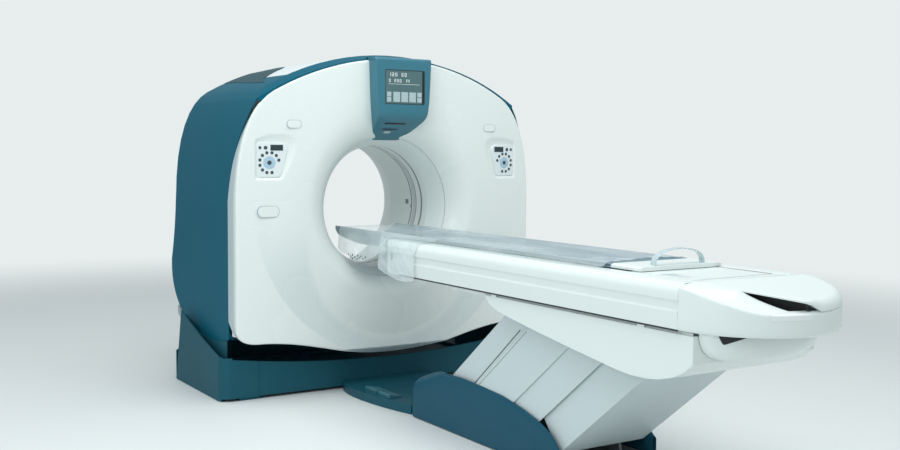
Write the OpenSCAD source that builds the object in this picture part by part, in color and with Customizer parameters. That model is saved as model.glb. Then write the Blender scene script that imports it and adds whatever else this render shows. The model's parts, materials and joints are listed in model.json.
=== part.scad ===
// Computed tomography scanner: a tilting gantry with its rotor, and a patient table on a parallelogram lift.
// The origin is on the floor under the centre of the bore. +Y runs along the bore, away from the table.

/* [Gantry] */
// Height of the bore's centre, which is also the tilt axis
iso_z = 1030; // [1000:1:1060]
// Radius of the patient bore
bore_r = 352; // [330:1:362]
// Half of the gantry's width over its covers
gantry_half_w = 945; // [925:1:955]
// Height of the gantry's top
gantry_h = 1892; // [1870:1:1920]
// Radius of the large arc over the top
top_arc_r = 1511; // [1450:10:1600]
// Height of the covers' lower edge under the bore
skirt_low_z = 196; // [190:1:220]
// How much higher the lower edge is at the sides
skirt_wave = 118; // [90:1:125]
// Depth of the front face, at its crown
front_y = -560; // [-590:1:-550]
// How far the front face falls back at its sides
face_crown = 45; // [30:1:55]
// Depth of the rear face
rear_y = 445; // [440:1:470]
// Wall of the gantry's moulded covers
cover_wall = 6; // [4:0.5:8]
// Seam between two covers
seam = 0.8; // [0.4:0.1:0.9]
// Drop of the white face below the top band
band_drop = 30; // [20:1:40]

/* [Dish and bore] */
// Depth of the bore's front lip
lip_front_y = -306; // [-316:1:-296]
// Depth of the bore's rear lip
lip_rear_y = 127; // [110:1:140]
// Rate at which the front funnel flares
flare = 70; // [60:1:80]
// Width of the dark band that the beam passes through
window_w = 44; // [36:1:60]
// Radius of the shallow round dish in the face
dish_r = 845; // [820:1:855]
// Slope of the shallow dish, which makes a crescent at its foot
dish_slope = 1.1; // [0.8:0.1:1.3]

/* [Gantry base] */
// How far the base stands out past the gantry's covers
base_ledge = 53; // [45:1:70]
// Depth of the base's front wall
base_front_y = -430; // [-440:1:-420]
// Depth of the base's rear wall
base_rear_y = 420; // [410:1:440]
// Height of the base's front wall in the middle
base_front_h = 160; // [150:1:175]
// Height of the base's front corners
base_corner_h = 236; // [220:1:245]
// Height of the base's side walls at the rear
base_side_h = 420; // [400:1:440]
// Wall of the base's covers
base_wall = 8; // [6:1:10]
// Height of the dark plinth under the covers
plinth_h = 14; // [10:1:20]
// Half of the width of a tilt upright along the bore
upright_half = 84; // [70:1:86]
// Thickness of a tilt upright
upright_t = 70; // [60:1:76]
// Room between an upright and the cover beside it
upright_room = 69; // [60:1:75]
// Radius of the tilt pins
tilt_pin_r = 45; // [35:1:50]

/* [Rotor] */
// Outer radius of the rotating drum
rotor_r = 640; // [620:1:650]
// Inner radius of the rotating drum
rotor_in_r = 392; // [388:1:400]
// Play of a running fit, on the radius
running = 0.06; // [0.03:0.01:0.09]
// Radius of the rotor drive's pulley
pulley_r = 45; // [35:1:50]

/* [Table] */
// Height of the cradle's edge as it stands
cradle_z = 913; // [905:1:920]
// Half of the cradle's width
cradle_half_w = 219; // [205:1:225]
// How far along the bore the cradle's tip stands
tip_y = -150; // [-170:1:-130]
// Length of the cradle
cradle_l = 2490; // [2450:10:2520]
// Length of the cradle's white tail end
tail_end_l = 175; // [150:5:190]
// Half of the table's width
table_half_w = 340; // [334:1:346]
// Depth of the table's front end
table_front_y = -1000; // [-1020:1:-990]
// Depth of the seam before the round tail
tail_seam_y = -3140; // [-3160:5:-3130]
// Height of the side covers' lower edge
side_low_z = 722; // [716:1:728]
// Half of the belly cover's width
belly_half_w = 322; // [318:1:326]
// Wall of the table's covers
table_wall = 5; // [4:0.5:6]

/* [Lift] */
// Length of the lift arms between their pivots
arm_l = 820; // [800:1:830]
// Angle of the arms over the floor as they stand
arm_rise = 39; // [38:0.5:40]
// Depth of the front arm's lower pivot
pivot_front_y = -1534; // [-1540:1:-1530]
// Height of the front arm's lower pivot
pivot_front_z = 170; // [168:1:172]
// Depth of the rear arm's lower pivot
pivot_rear_y = -2263; // [-2268:1:-2258]
// Height of the rear arm's lower pivot
pivot_rear_z = 120; // [118:1:122]
// Radius of the pivot shafts
shaft_r = 20; // [16:1:22]
// Half of the depth of an arm's bars
arm_half = 32; // [28:1:34]
// Wall of the leg's sliding covers
leg_wall = 4; // [3:0.5:5]

/* [Table base] */
// Half of the table base's width
table_base_half_w = 276; // [272:1:282]
// Depth of the table base's front end
table_base_front_y = -1160; // [-1170:1:-1150]
// Depth of the table base's rear end
table_base_rear_y = -2400; // [-2420:1:-2392]

/* [Hidden] */
$fn = 96;

// Colours as the covers show them
white_cover = [0.90, 0.93, 0.93];
grey_cover = [0.70, 0.76, 0.78];
teal_cover = [0.16, 0.40, 0.50];
teal_dark = [0.12, 0.31, 0.38];
steel = [0.55, 0.57, 0.60];
machined = [0.75, 0.76, 0.78];
black_trim = [0.06, 0.07, 0.08];
carbon_grey = [0.38, 0.47, 0.52];
copper = [0.72, 0.45, 0.28];

// Clearance between covers that face each other
gap = 0.3;
base_half_w = gantry_half_w + base_ledge;
// Distance of the uprights' inner faces from the middle
upright_x = gantry_half_w - cover_wall - upright_room - upright_t;
upright_mid = upright_x + upright_t / 2;
rail_half = 60;
// Where the top's large arc meets the side's curve
shoulder_x = gantry_half_w - 199;
// Everything that tilts near the base stays inside this radius about the tilt axis
tilt_reach = 925;
face_reach = 960;
// The flat top panel's half-width, and the height of the seam that ends a side cover
top_panel_half = gantry_half_w - 325;
shoulder_seam_x = gantry_half_w - 105;
shoulder_seam_z = gantry_h - 231;
// Depth where the white face's side return meets the teal side cover
return_y = -395;
// Outer radius of the seam between the front cover's funnel and the bore's liner
liner_seam_r = 400;
// Largest radius of the rear funnel
rear_funnel_r = 600;
rear_flare = 60;
scan_y = -160;
frame_y = 150;
frame_t = 40;
frame_back_y = frame_y + frame_t;
bearing_out_r = 520;
frame_r = bearing_out_r + 195;
cover_room = 110;
trunnion_half = 110;
cover_seat_x = gantry_half_w - cover_wall - gap;
belt_w = 36;
// Room that the belt's straight facets need over the round drum
belt_play = 0.7;
pulley_x = 523;
pulley_z = iso_z - 523;
screw_r = 9;
anchor_y = 350;

u_y = -cos(arm_rise);
u_z = sin(arm_rise);
n_y = sin(arm_rise);
n_z = cos(arm_rise);
P1 = [pivot_front_y, pivot_front_z];
P2 = [pivot_rear_y, pivot_rear_z];
PB = P1 + (P2 - P1) / 3;
PC = P1 + (P2 - P1) * 2 / 3;
lift = arm_l * [u_y, u_z];
pin_r = 10;

// Points of an arc, from angle a0 to a1 in n steps
function arc(c, r, a0, a1, n) = [for (i = [0:n]) let (a = a0 + (a1 - a0) * i / n) c + r * [cos(a), sin(a)]];

// Points of a cubic curve with the end points p0 and p3 and the handles p1 and p2
function curve(p0, p1, p2, p3, n) = [
    for (i = [0:n]) let (t = i / n, s = 1 - t) s*s*s*p0 + 3*s*s*t*p1 + 3*s*t*t*p2 + t*t*t*p3
];

function reversed(list) = [for (i = [len(list) - 1:-1:0]) list[i]];

function mirrored(list) = [for (i = [len(list) - 1:-1:0]) [-list[i][0], list[i][1]]];

// Stands a flat outline (x, z) up and carries it along Y
module along_y(y0, y1) {
    translate([0, y1, 0])
        rotate([90, 0, 0])
            linear_extrude(y1 - y0)
                children();
}

// Stands a side outline (y, z) up and carries it along X
module along_x(x0, x1) {
    translate([x0, 0, 0])
        rotate([90, 0, 90])
            linear_extrude(x1 - x0)
                children();
}

// Turns a profile of (radius, -y) round the bore's axis
module round_bore(angle = 360, start = 0) {
    translate([0, 0, iso_z])
        rotate([90, 0, 0])
            rotate([0, 0, start])
                rotate_extrude(angle = angle)
                    children();
}

module bore_cylinder(r, y0, y1, x = 0, z = 0) {
    translate([x, y1, iso_z + z])
        rotate([90, 0, 0])
            cylinder(r = r, h = y1 - y0);
}

module cross_pin(r, x0, x1, y, z) {
    translate([x0, y, z])
        rotate([0, 90, 0])
            cylinder(r = r, h = x1 - x0);
}

module block(x0, x1, y0, y1, z0, z1) {
    translate([x0, y0, z0])
        cube([x1 - x0, y1 - y0, z1 - z0]);
}

// The same on the right (s = 1) or, mirrored, on the left (s = -1)
module side_block(s, x0, x1, y0, y1, z0, z1) {
    block(s > 0 ? x0 : -x1, s > 0 ? x1 : -x0, y0, y1, z0, z1);
}

module side_pin(s, r, x0, x1, y, z) {
    cross_pin(r, s > 0 ? x0 : -x1, s > 0 ? x1 : -x0, y, z);
}

// Right half of the gantry's front outline, from the lower edge's middle up to the top's middle
function half_outline(d, drop) = let (
    w = gantry_half_w - d,
    r = top_arc_r - d - drop,
    c = gantry_h - top_arc_r,
    a = acos(shoulder_x / top_arc_r),
    shoulder = [0, c] + r * [cos(a), sin(a)],
    toward = [sin(a), -cos(a)],
    low = skirt_low_z + d,
    foot = gantry_half_w - 125
) concat(
    [for (i = [0:8]) let (x = foot * i / 8) [x, low + skirt_wave * (1 - cos(180 * i / 8)) / 2]],
    arc([w - 60, low + skirt_wave + 62], 60, -60, 0, 3),
    curve([w, iso_z + 20], [w, gantry_h - 452], shoulder + 130 * toward, shoulder, 8),
    [for (i = [1:9]) [0, c] + r * [cos(a + (90 - a) * i / 9), sin(a + (90 - a) * i / 9)]]
);

function gantry_outline(d = 0, drop = 0) = let (
    half = half_outline(d, drop)
) concat(half, [for (i = [len(half) - 2:-1:1]) [-half[i][0], half[i][1]]]);

// Space that the covers may fill without reaching the base when they tilt
module tilt_space(inset = 0) {
    far = base_half_w + 100;
    cross_pin(tilt_reach - inset, -far, far, 0, iso_z);
    // The foot of the face swings down between the uprights
    intersection() {
        cross_pin(face_reach - inset, -upright_x + 70, upright_x - 70, 0, iso_z);
        block(-far, far, -700, 0, 0, iso_z);
    }
    block(-far, far, -700, 700, iso_z, gantry_h + 100);
}

// Upright cylinder that gives the front face its crown
crown_r = (gantry_half_w * gantry_half_w + face_crown * face_crown) / (2 * face_crown);
module crown(inset = 0) {
    translate([0, front_y + inset + crown_r, 0])
        cylinder(r = crown_r, h = 2200, $fn = 720);
}

// How far the front face has fallen back at a distance from its middle
function crown_fall(x) = face_crown * pow(x / gantry_half_w, 2);

// Depth of the front funnel at a radius
function funnel_y(r) = front_y + (lip_front_y - front_y) * exp(-(r - bore_r) / flare);
function rear_funnel_y(r) = rear_y - (rear_y - lip_rear_y) * exp(-(r - bore_r) / rear_flare);
function funnel_radii(r0, r1, n) = [for (i = [0:n]) r0 + (r1 - r0) * pow(i / n, 1.5)];

// Parts that stand still under the gantry

// Side view of a tilt upright, narrower at its foot, where the tilting covers come near it
upright_foot_half = 60;
module upright_outline() {
    polygon([
        [-upright_foot_half, 80], [upright_foot_half, 80], [upright_half, iso_z - 630],
        [upright_half, iso_z], [-upright_half, iso_z], [-upright_half, iso_z - 630]
    ]);
    translate([0, iso_z])
        circle(r = upright_half);
}

module gantry_base_frame() color(steel) {
    difference() {
        union() {
            for (s = [-1, 1]) {
                block(s * upright_mid - rail_half, s * upright_mid + rail_half,
                    base_front_y + base_wall + gap, base_rear_y - base_wall - gap, 0, 88);
                translate([s * upright_mid - upright_t / 2, 0, 0])
                    along_x(0, upright_t)
                        upright_outline();
            }
            for (y = [-350, 300])
                block(-upright_x, upright_x, y, y + 70, 0, 80);
            // Stubs that the side covers rest against
            block(-base_half_w + base_wall + gap, base_half_w - base_wall - gap, -120, -60, 20, 56);
        }
        for (s = [-1, 1])
            cross_pin(tilt_pin_r, s * upright_mid - rail_half, s * upright_mid + rail_half, 0, iso_z);
        for (x = [-upright_mid, upright_mid], y = [-anchor_y, anchor_y])
            translate([x, y, -1])
                cylinder(r = screw_r, h = 100);
    }
}

// Height of the base's wall along its front
function base_top(x) = base_front_h + (base_corner_h - base_front_h) * pow(abs(x) / base_half_w, 2);

base_corner_r = 60;
// How much narrower the base is at its rear wall
rear_taper = 66;
module base_plan(inset) {
    w = base_half_w - inset;
    r = base_corner_r - inset;
    polygon(concat(
        arc([w - r, base_front_y + inset + r], r, -90, 0, 6),
        [[w, base_side_end], [w - rear_taper, base_rear_y - inset]],
        [[-w + rear_taper, base_rear_y - inset], [-w, base_side_end]],
        arc([-w + r, base_front_y + inset + r], r, 180, 270, 6)
    ));
}

// Walls of the base as a ring, from the plinth up
module base_walls() {
    difference() {
        linear_extrude(base_side_h + 10)
            base_plan(0);
        translate([0, 0, -1])
            linear_extrude(base_side_h + 20)
                base_plan(base_wall);
        // The covers end above the floor, but for a dark strip that is left at each side
        block(-base_half_w + base_wall + 2, base_half_w - base_wall - 2, base_front_y - 1, base_rear_y + 1,
            -1, plinth_h);
    }
}

base_seam_x = base_half_w - 212;
module base_front_cover() color(teal_dark) {
    intersection() {
        base_walls();
        along_y(base_front_y - 10, base_front_y + 60)
            polygon(concat(
                [[-base_seam_x + seam, 0], [base_seam_x - seam, 0]],
                [for (i = [6:-1:-6]) [(base_seam_x - seam) * i / 6, base_top((base_seam_x - seam) * i / 6)]]
            ));
    }
}

// Side view of a base cover: low at the front corner, and swept up to the rear
base_side_end = 310;
module base_side_view() {
    polygon(concat(
        [[base_side_end, 0], [base_front_y - 10, 0], [base_front_y - 10, base_corner_h]],
        curve([base_front_y + 20, base_corner_h], [-200, 285], [20, 345], [215, base_side_h], 8)
    ));
}

module base_side_cover() {
    corner_w = base_half_w - base_corner_r + 1 - base_seam_x;
    intersection() {
        base_walls();
        block(base_seam_x, base_half_w + 10, base_front_y - 10, base_side_end, -1, base_side_h + 20);
        union() {
            along_x(base_half_w - base_corner_r, base_half_w + 10)
                base_side_view();
            along_y(base_front_y - 10, base_front_y + base_corner_r + 10)
                polygon(concat(
                    [[base_seam_x, 0], [base_seam_x + corner_w, 0]],
                    [for (i = [4:-1:0]) let (x = base_seam_x + corner_w * i / 4) [x, base_top(x)]]
                ));
        }
    }
}

module base_right_cover() color(teal_dark) base_side_cover();

module base_left_cover() color(teal_dark) mirror([1, 0, 0]) base_side_cover();

module base_rear_cover() color(teal_dark) {
    intersection() {
        base_walls();
        block(-base_half_w - 1, base_half_w + 1, base_side_end + seam, base_rear_y + 1, 0, 170);
    }
}

// Parts that tilt

module tilt_frame() color(steel) {
    difference() {
        union() {
            // Ring plate round the bearing, clear of the covers
            intersection() {
                bore_cylinder(frame_r, frame_y, frame_back_y);
                along_y(frame_y - 1, frame_back_y + 1)
                    polygon(gantry_outline(cover_room));
            }
            for (s = [-1, 1]) {
                side_block(s, 560, upright_x - 3, frame_y, frame_back_y,
                    iso_z - trunnion_half, iso_z + trunnion_half);
                side_block(s, upright_x - 43, upright_x - 3,
                    -trunnion_half, frame_back_y, iso_z - trunnion_half, iso_z + trunnion_half);
                side_pin(s, tilt_pin_r - running, upright_x - 5, upright_x + upright_t + 12, 0, iso_z);
            }
            // Brackets that carry the covers
            for (s = [-1, 1]) {
                side_block(s, 600, cover_seat_x, frame_back_y - 1, frame_back_y + 12,
                    iso_z - 60, iso_z);
            }
            // Lug that carries the rotor's drive
            bore_cylinder(pulley_r + 30, frame_y, frame_back_y, pulley_x, pulley_z - iso_z);
        }
        bore_cylinder(bearing_out_r, frame_y - 1, frame_back_y + 1);
    }
}

bearing_in_r = 470;
module bearing_ring() color(machined) {
    difference() {
        bore_cylinder(bearing_out_r - gap, frame_y - 30, frame_back_y);
        bore_cylinder(bearing_in_r, frame_y - 31, frame_back_y + 1);
    }
}

// Solid that the front funnel's wall fills, between two radii
module funnel_shell(r0, r1, wall) {
    radii = funnel_radii(r0, r1, 12);
    round_bore()
        polygon(concat(
            [for (r = radii) [r, -funnel_y(r)]],
            reversed([for (r = radii) [r + wall * 0.8, -funnel_y(r) - wall]])
        ));
}

module funnel_void(r0, r1) {
    radii = funnel_radii(r0, r1, 12);
    round_bore()
        polygon(concat(
            [for (r = radii) [r, -funnel_y(r)]],
            [[r1, -front_y + 80], [0, -front_y + 80], [0, -funnel_y(r0)]]
        ));
}

funnel_face_r = 700;
front_shell_y = -430;

// Shallow round dish, tilted so that only its foot has a step
module shallow_dish(behind = 0) {
    translate([0, front_y + 17 + behind, iso_z])
        rotate([90 + dish_slope, 0, 0])
            cylinder(r = dish_r + behind, h = 80, $fn = 180);
}

// Opening in the face that the console sits in
console_top_z = gantry_h - band_drop + 4;
function console_outline(d = 0) = let (
    right = [
        [88 + d, iso_z + 384 - d], [140 + d, iso_z + 488], [156 + d, iso_z + 530],
        [168 + d, iso_z + 600], [182 + d, console_top_z + d]
    ]
) concat(right, mirrored(right));

pod_x = 768;
pod_z = iso_z + 272;
module pod_outline(d = 0) {
    polygon([[-66 - d, -88 - d], [46 + d, -88 - d], [96 + d, 72], [70 + d, 96 + d], [-66 - d, 88 + d]]);
}

// The recess and its keypad are mirrored on the other side of the bore
module at_pod(s, y0, y1, d) {
    translate([s * pod_x, 0, pod_z])
        along_y(y0, y1)
            scale([-s, 1])
                pod_outline(d);
}

cap_places = [[-624, 1490, 42, 21], [640, 1490, 42, 21], [-771, 1024, 61, 29]];
module cap_outline(p, d) {
    translate([p[0], p[1]]) {
        for (s = [-1, 1])
            translate([s * (p[2] - p[3]), 0])
                circle(r = p[3] + d);
        square([2 * (p[2] - p[3]), 2 * (p[3] + d)], center = true);
    }
}

module front_cover() color(white_cover) {
    intersection() {
        tilt_space();
        difference() {
            union() {
                difference() {
                    intersection() {
                        along_y(front_y - 5, return_y)
                            polygon(gantry_outline(0, band_drop));
                        crown();
                    }
                    difference() {
                        intersection() {
                            along_y(front_y - 5, return_y + 1)
                                polygon(gantry_outline(cover_wall, band_drop));
                            crown(cover_wall + 18);
                            tilt_space(cover_wall);
                        }
                        shallow_dish(cover_wall);
                    }
                    block(-700, 700, front_shell_y - 60, 0, iso_z + 400, gantry_h + 10);
                }
                intersection() {
                    funnel_shell(liner_seam_r, funnel_face_r, cover_wall + 14);
                    crown();
                }
            }
            funnel_void(liner_seam_r, funnel_face_r);
            shallow_dish();
            bore_cylinder(liner_seam_r, -700, 0);
            along_y(front_y - 10, 0)
                polygon(console_outline(gap));
            for (s = [-1, 1])
                at_pod(s, -700, front_y + face_crown + 3 + gap, gap);
            for (p = cap_places)
                along_y(-700, front_y + face_crown + 30)
                    cap_outline(p, gap);
            // Open below, but for the side returns' strips
            block(-gantry_half_w + 20, gantry_half_w - 20, return_y - 90, 0, 0, 420);
            block(-gantry_half_w, gantry_half_w, return_y - 110, 0, 0, 335);
            // Room for the side covers, whose front edges lean forward to the top
            for (s = [-1, 1])
                scale([s, 1, 1])
                    along_x(500, gantry_half_w + 1)
                        polygon(concat(return_line(), [[0, gantry_h - 190], [0, iso_z + 50]]));
        }
    }
}

// Edge where the face's side return meets a side cover, from its lower end up
function return_line(d = 0) = [
    [return_y + d, iso_z + 50], [-440 + d, gantry_h - 590],
    [-500 + d, gantry_h - 390], [-520 + d, gantry_h - 190]
];

// The teal and white covers behind the face, as one shell to cut them from
module outer_shell(y0, y1, d0 = 0) {
    difference() {
        along_y(y0, y1)
            polygon(gantry_outline(d0));
        along_y(y0 - 1, y1 + 1)
            polygon(gantry_outline(d0 + cover_wall));
    }
}

// Side view of a teal side cover, with its round lower edge and the bulge behind
side_rear_low = 545;
module side_view() {
    polygon(concat(
        curve([return_y + seam, 330], [-260, 286], [60, 270], [300, 372], 8),
        curve([300, 372], [440, 432], [side_rear_low, 540], [side_rear_low - 15, 690], 8),
        curve([side_rear_low - 15, 690], [490, 800], [rear_y - 2, 960], [rear_y - 3, 1150], 6),
        [[rear_y - 3, gantry_h - 190]],
        reversed(return_line(seam))
    ));
}

module side_cover() {
    w = gantry_half_w;
    intersection() {
        union() {
            outer_shell(-540, side_rear_low + 20);
            block(w - cover_wall, w, -400, side_rear_low + 20, 255, 400);
        }
        along_x(500, w + 1)
            side_view();
        along_y(-600, 700)
            polygon([
                [w - 65, 250], [w + 15, 250], [w + 15, shoulder_seam_z - 100],
                [shoulder_seam_x, shoulder_seam_z], [shoulder_seam_x - 30, shoulder_seam_z - 60]
            ]);
    }
}

module right_side_cover() color(teal_cover) side_cover();

module left_side_cover() color(teal_cover) mirror([1, 0, 0]) side_cover();

band_y = -440;

// Solid under the slanted front of the band, a cone about the middle of the top's large arc
module band_cone(inset) {
    translate([0, 0, gantry_h - top_arc_r])
        rotate([90, 0, 0])
            rotate_extrude($fn = 180)
                polygon([
                    [0, -500], [top_arc_r + 200, -500], [top_arc_r + 200, -band_y - inset],
                    [top_arc_r - inset, -band_y - inset],
                    [top_arc_r - 24 - inset, -front_y - 12], [0, -front_y - 12]
                ]);
}

// What the band's outside fills, or with an inset its hollow
module band_space(inset) {
    intersection() {
        along_y(front_y, inset > 0 ? rear_y : rear_y - 3)
            polygon(gantry_outline(inset));
        crown(4 + inset);
        band_cone(inset);
    }
}

module top_band() color(teal_cover) {
    x = shoulder_seam_x - seam;
    z = shoulder_seam_z;
    over = gantry_h + 8;
    intersection() {
        difference() {
            band_space(0);
            band_space(cover_wall);
        }
        union() {
            along_y(front_y, band_y)
                polygon([
                    [-x, z], [-x + 140, z - 102], [x - 140, z - 102],
                    [x, z], [x - 140, over], [-x + 140, over]
                ]);
            for (s = [-1, 1])
                along_y(front_y, rear_y - 3)
                    scale([s, 1])
                        polygon([
                            [top_panel_half + seam, z - 162], [x - 30, z - 62], [x, z], [x - 20, over],
                            [top_panel_half + seam, over]
                        ]);
        }
        difference() {
            block(-shoulder_seam_x, shoulder_seam_x, -600, 600, z - 162, over);
            // Room for the white face's own edge
            along_y(-600, band_y + 60)
                polygon(gantry_outline(-0.01, band_drop - gap));
            // Room for the console
            along_y(-700, front_y + 160)
                polygon(console_outline(gap));
        }
    }
}

module top_cover() color(white_cover) {
    difference() {
        intersection() {
            outer_shell(band_y + seam, rear_y - 3);
            block(-top_panel_half, top_panel_half, -500, 500, gantry_h - 300, gantry_h + 8);
        }
        // Slots that let warm air out at the rear of the top
        for (x = [-560:40:560])
            block(x - 10, x + 10, rear_y - 180, rear_y - 60, gantry_h - 300, gantry_h + 8);
    }
}

module rear_cover() color(white_cover) {
    radii = funnel_radii(liner_seam_r, rear_funnel_r, 8);
    intersection() {
        tilt_space();
        difference() {
            union() {
                along_y(rear_y, rear_y + cover_wall)
                    polygon(gantry_outline(cover_wall + gap));
                round_bore()
                    polygon(concat(
                        [for (r = radii) [r, -rear_funnel_y(r)]],
                        reversed([for (r = radii) [r + cover_wall, -rear_funnel_y(r) + cover_wall]])
                    ));
                difference() {
                    bore_cylinder(rear_funnel_r + 10, rear_y - 20, rear_y + 1);
                    bore_cylinder(rear_funnel_r, rear_y - 21, rear_y + 2);
                }
                difference() {
                    along_y(rear_y - 60, rear_y + 1)
                        polygon(gantry_outline(cover_wall + gap));
                    along_y(rear_y - 61, rear_y + 2)
                        polygon(gantry_outline(2 * cover_wall + gap));
                    block(-1000, 1000, 0, 600, 0, 420);
                }
            }
            round_bore()
                polygon(concat(
                    [for (r = radii) [r, -rear_funnel_y(r)]],
                    [[rear_funnel_r, -rear_y - 40], [0, -rear_y - 40], [0, -rear_funnel_y(liner_seam_r)]]
                ));
        }
    }
}

console_face_y = front_y - 70;
module console_housing() color(teal_cover) {
    difference() {
        intersection() {
            along_y(-700, front_y + 156)
                polygon(console_outline());
            // Side view: an upright face, then a long slope back into the funnel
            along_x(-300, 300)
                polygon([
                    [console_face_y, iso_z + 520], [console_face_y + 6, gantry_h - 60],
                    [console_face_y + 34, console_top_z], [front_y + 60, console_top_z],
                    [front_y + 60, iso_z + 500], [front_y + 120, iso_z + 420],
                    [front_y + 156, iso_z + 384], [console_face_y + 30, iso_z + 500]
                ]);
        }
        block(-122, 122, console_face_y - 10, console_face_y + 9, iso_z + 583, iso_z + 767);
        for (z = [505, 480])
            block(-70, 70, -700, console_face_y + 60, iso_z + z - 10, iso_z + z - 4);
    }
}

module console_screen() color(black_trim)
    block(-120, 120, console_face_y + 3, console_face_y + 8.7, iso_z + 585, iso_z + 765);

module keypad(s) {
    key_y = front_y + face_crown + 3 - cover_wall;
    difference() {
        at_pod(s, key_y - 4, key_y + cover_wall, 0);
        // Window of the small display
        translate([s * pod_x, key_y - 5, pod_z])
            side_block(s, -85, -10, 0, 3, 70, 102);
    }
    // Ring of keys, one key in its middle and two beside the display
    for (a = [15:30:285])
        key(s, 50 * cos(a), 50 * sin(a), 8, key_y);
    key(s, 0, 0, 14, key_y);
    key(s, -46, 80, 8, key_y);
    key(s, -16, 80, 10, key_y);
}

// One domed key under the keypad's sealed skin
module key(s, x, z, r, y) {
    translate([s * (pod_x - x), y - 3.5, pod_z + z])
        rotate([90, 0, 0])
            cylinder(r1 = r, r2 = r - 2, h = 3);
}

module left_keypad() color(grey_cover) keypad(-1);

module right_keypad() color(grey_cover) keypad(1);

module cover_caps() color(white_cover) {
    for (p = cap_places)
        translate([p[0], front_y + crown_fall(p[0]), 0])
            rotate([0, 0, atan(2 * crown_fall(p[0]) / p[0])])
                along_y(1.5, 5)
                    translate([-p[0], 0])
                        cap_outline(p, -0.5);
}

// Bore's liner: a flared front ring, the dark window and a flared rear ring
liner_wall = 5;
module front_liner() color(grey_cover) {
    radii = funnel_radii(bore_r, liner_seam_r - gap, 6);
    difference() {
        round_bore()
            polygon(concat(
                [[bore_r, -scan_y + window_w / 2 + gap]],
                [for (r = radii) [r, -funnel_y(r)]],
                reversed([for (r = radii) [r + liner_wall * 0.7, -funnel_y(r) - liner_wall]]),
                [[bore_r + liner_wall, -scan_y + window_w / 2 + gap]]
            ));
        along_y(front_y - 10, 0)
            polygon(console_outline(gap));
        difference() {
            bore_cylinder(500, -600, 0);
            bore_cylinder(liner_seam_r - gap, -601, 1);
        }
    }
}

module scan_window() color(black_trim) {
    round_bore()
        polygon([
            [bore_r + 2, -scan_y - window_w / 2], [bore_r + 2, -scan_y + window_w / 2],
            [bore_r + liner_wall, -scan_y + window_w / 2], [bore_r + liner_wall, -scan_y - window_w / 2]
        ]);
}

module rear_liner() color(grey_cover) {
    radii = funnel_radii(bore_r, liner_seam_r - gap, 6);
    difference() {
        round_bore()
            polygon(concat(
                [[bore_r, -scan_y - window_w / 2 - gap]],
                [for (r = radii) [r, -rear_funnel_y(r)]],
                reversed([for (r = radii) [r + liner_wall * 0.7, -rear_funnel_y(r) + liner_wall]]),
                [[bore_r + liner_wall, -scan_y - window_w / 2 - gap]]
            ));
        difference() {
            bore_cylinder(500, 0, 600);
            bore_cylinder(liner_seam_r - gap, -1, 601);
        }
    }
}

module drive_motor() color(steel) {
    bore_cylinder(pulley_r + 15, frame_back_y + gap, frame_back_y + 150, pulley_x, pulley_z - iso_z);
}

module drive_belt() color(black_trim) {
    // Belt round the drum and the motor's pulley: two arcs and their tangents
    d = sqrt(pulley_x * pulley_x + (pulley_z - iso_z) * (pulley_z - iso_z));
    to = atan2(pulley_z - iso_z, pulley_x);
    drum = drum_groove_r + belt_play;
    wheel = pulley_r + belt_play;
    swing = acos((drum - wheel) / d);
    along_y(frame_y - 110, frame_y - 110 + belt_w)
        translate([0, iso_z])
            difference() {
                belt_loop(d, to, drum + 5, wheel + 5, swing);
                belt_loop(d, to, drum, wheel, swing);
            }
}

module belt_loop(d, to, drum, wheel, swing) {
    c = d * [cos(to), sin(to)];
    polygon(concat(
        arc([0, 0], drum, to + swing, to + 360 - swing, 60),
        arc(c, wheel, to - swing, to + swing, 12)
    ));
}

// Parts that spin round the bore

drum_groove_r = 634;
module rotor_drum() color(machined) {
    difference() {
        union() {
            bore_cylinder(rotor_r, -60, frame_y - 124);
            bore_cylinder(drum_groove_r, frame_y - 126, frame_y - 60);
            bore_cylinder(bearing_in_r - running, frame_y - 62, frame_back_y);
        }
        bore_cylinder(rotor_in_r + 20, frame_y - 62, frame_back_y + 1);
        bore_cylinder(rotor_r - 22, -20, frame_y - 80);
        bore_cylinder(rotor_in_r, -61, frame_back_y + 1);
    }
}

module rotor_box(angle, r0, r1, half_w, y0, y1) {
    translate([0, 0, iso_z])
        rotate([0, angle, 0])
            block(-half_w, half_w, y0, y1, r0, r1);
}

module xray_tube() color(steel) {
    translate([0, 0, iso_z + 520]) {
        translate([0, -60 - gap, 0])
            rotate([90, 0, 0])
                cylinder(r = 90, h = 150);
        block(-60, 60, -150, -60 - gap, -110, 0);
    }
}

module collimator() color(black_trim)
    rotor_box(0, 368 + 6, 409, 110, -150, -60 - gap);

module detector_arc() color(steel) {
    intersection() {
        difference() {
            bore_cylinder(600, -210, -60 - gap);
            bore_cylinder(530, -211, 0);
        }
        translate([0, 0, iso_z])
            along_y(-300, 0)
                polygon([[0, 0], [-640, -700], [640, -700]]);
    }
}

module generator() color(grey_cover)
    for (a = [90, 270])
        rotor_box(a, 420, 590, 150, -200, -60 - gap);

module slip_ring() color(copper) {
    difference() {
        bore_cylinder(rotor_in_r + 19.7, frame_back_y - 50, frame_back_y + 30);
        bore_cylinder(rotor_in_r, frame_back_y - 51, frame_back_y + 31);
    }
}

module motor_pulley() color(machined) {
    difference() {
        bore_cylinder(pulley_r, frame_y - 112, frame_y - 70, pulley_x, pulley_z - iso_z);
        bore_cylinder(10, frame_y - 113, frame_y - 69, pulley_x, pulley_z - iso_z);
    }
    bore_cylinder(10, frame_y - 112, frame_y - gap, pulley_x, pulley_z - iso_z);
}

// Table's base

base_arm_x = 150;
rear_arm_x = 96;
bracket_t = 12;

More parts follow.
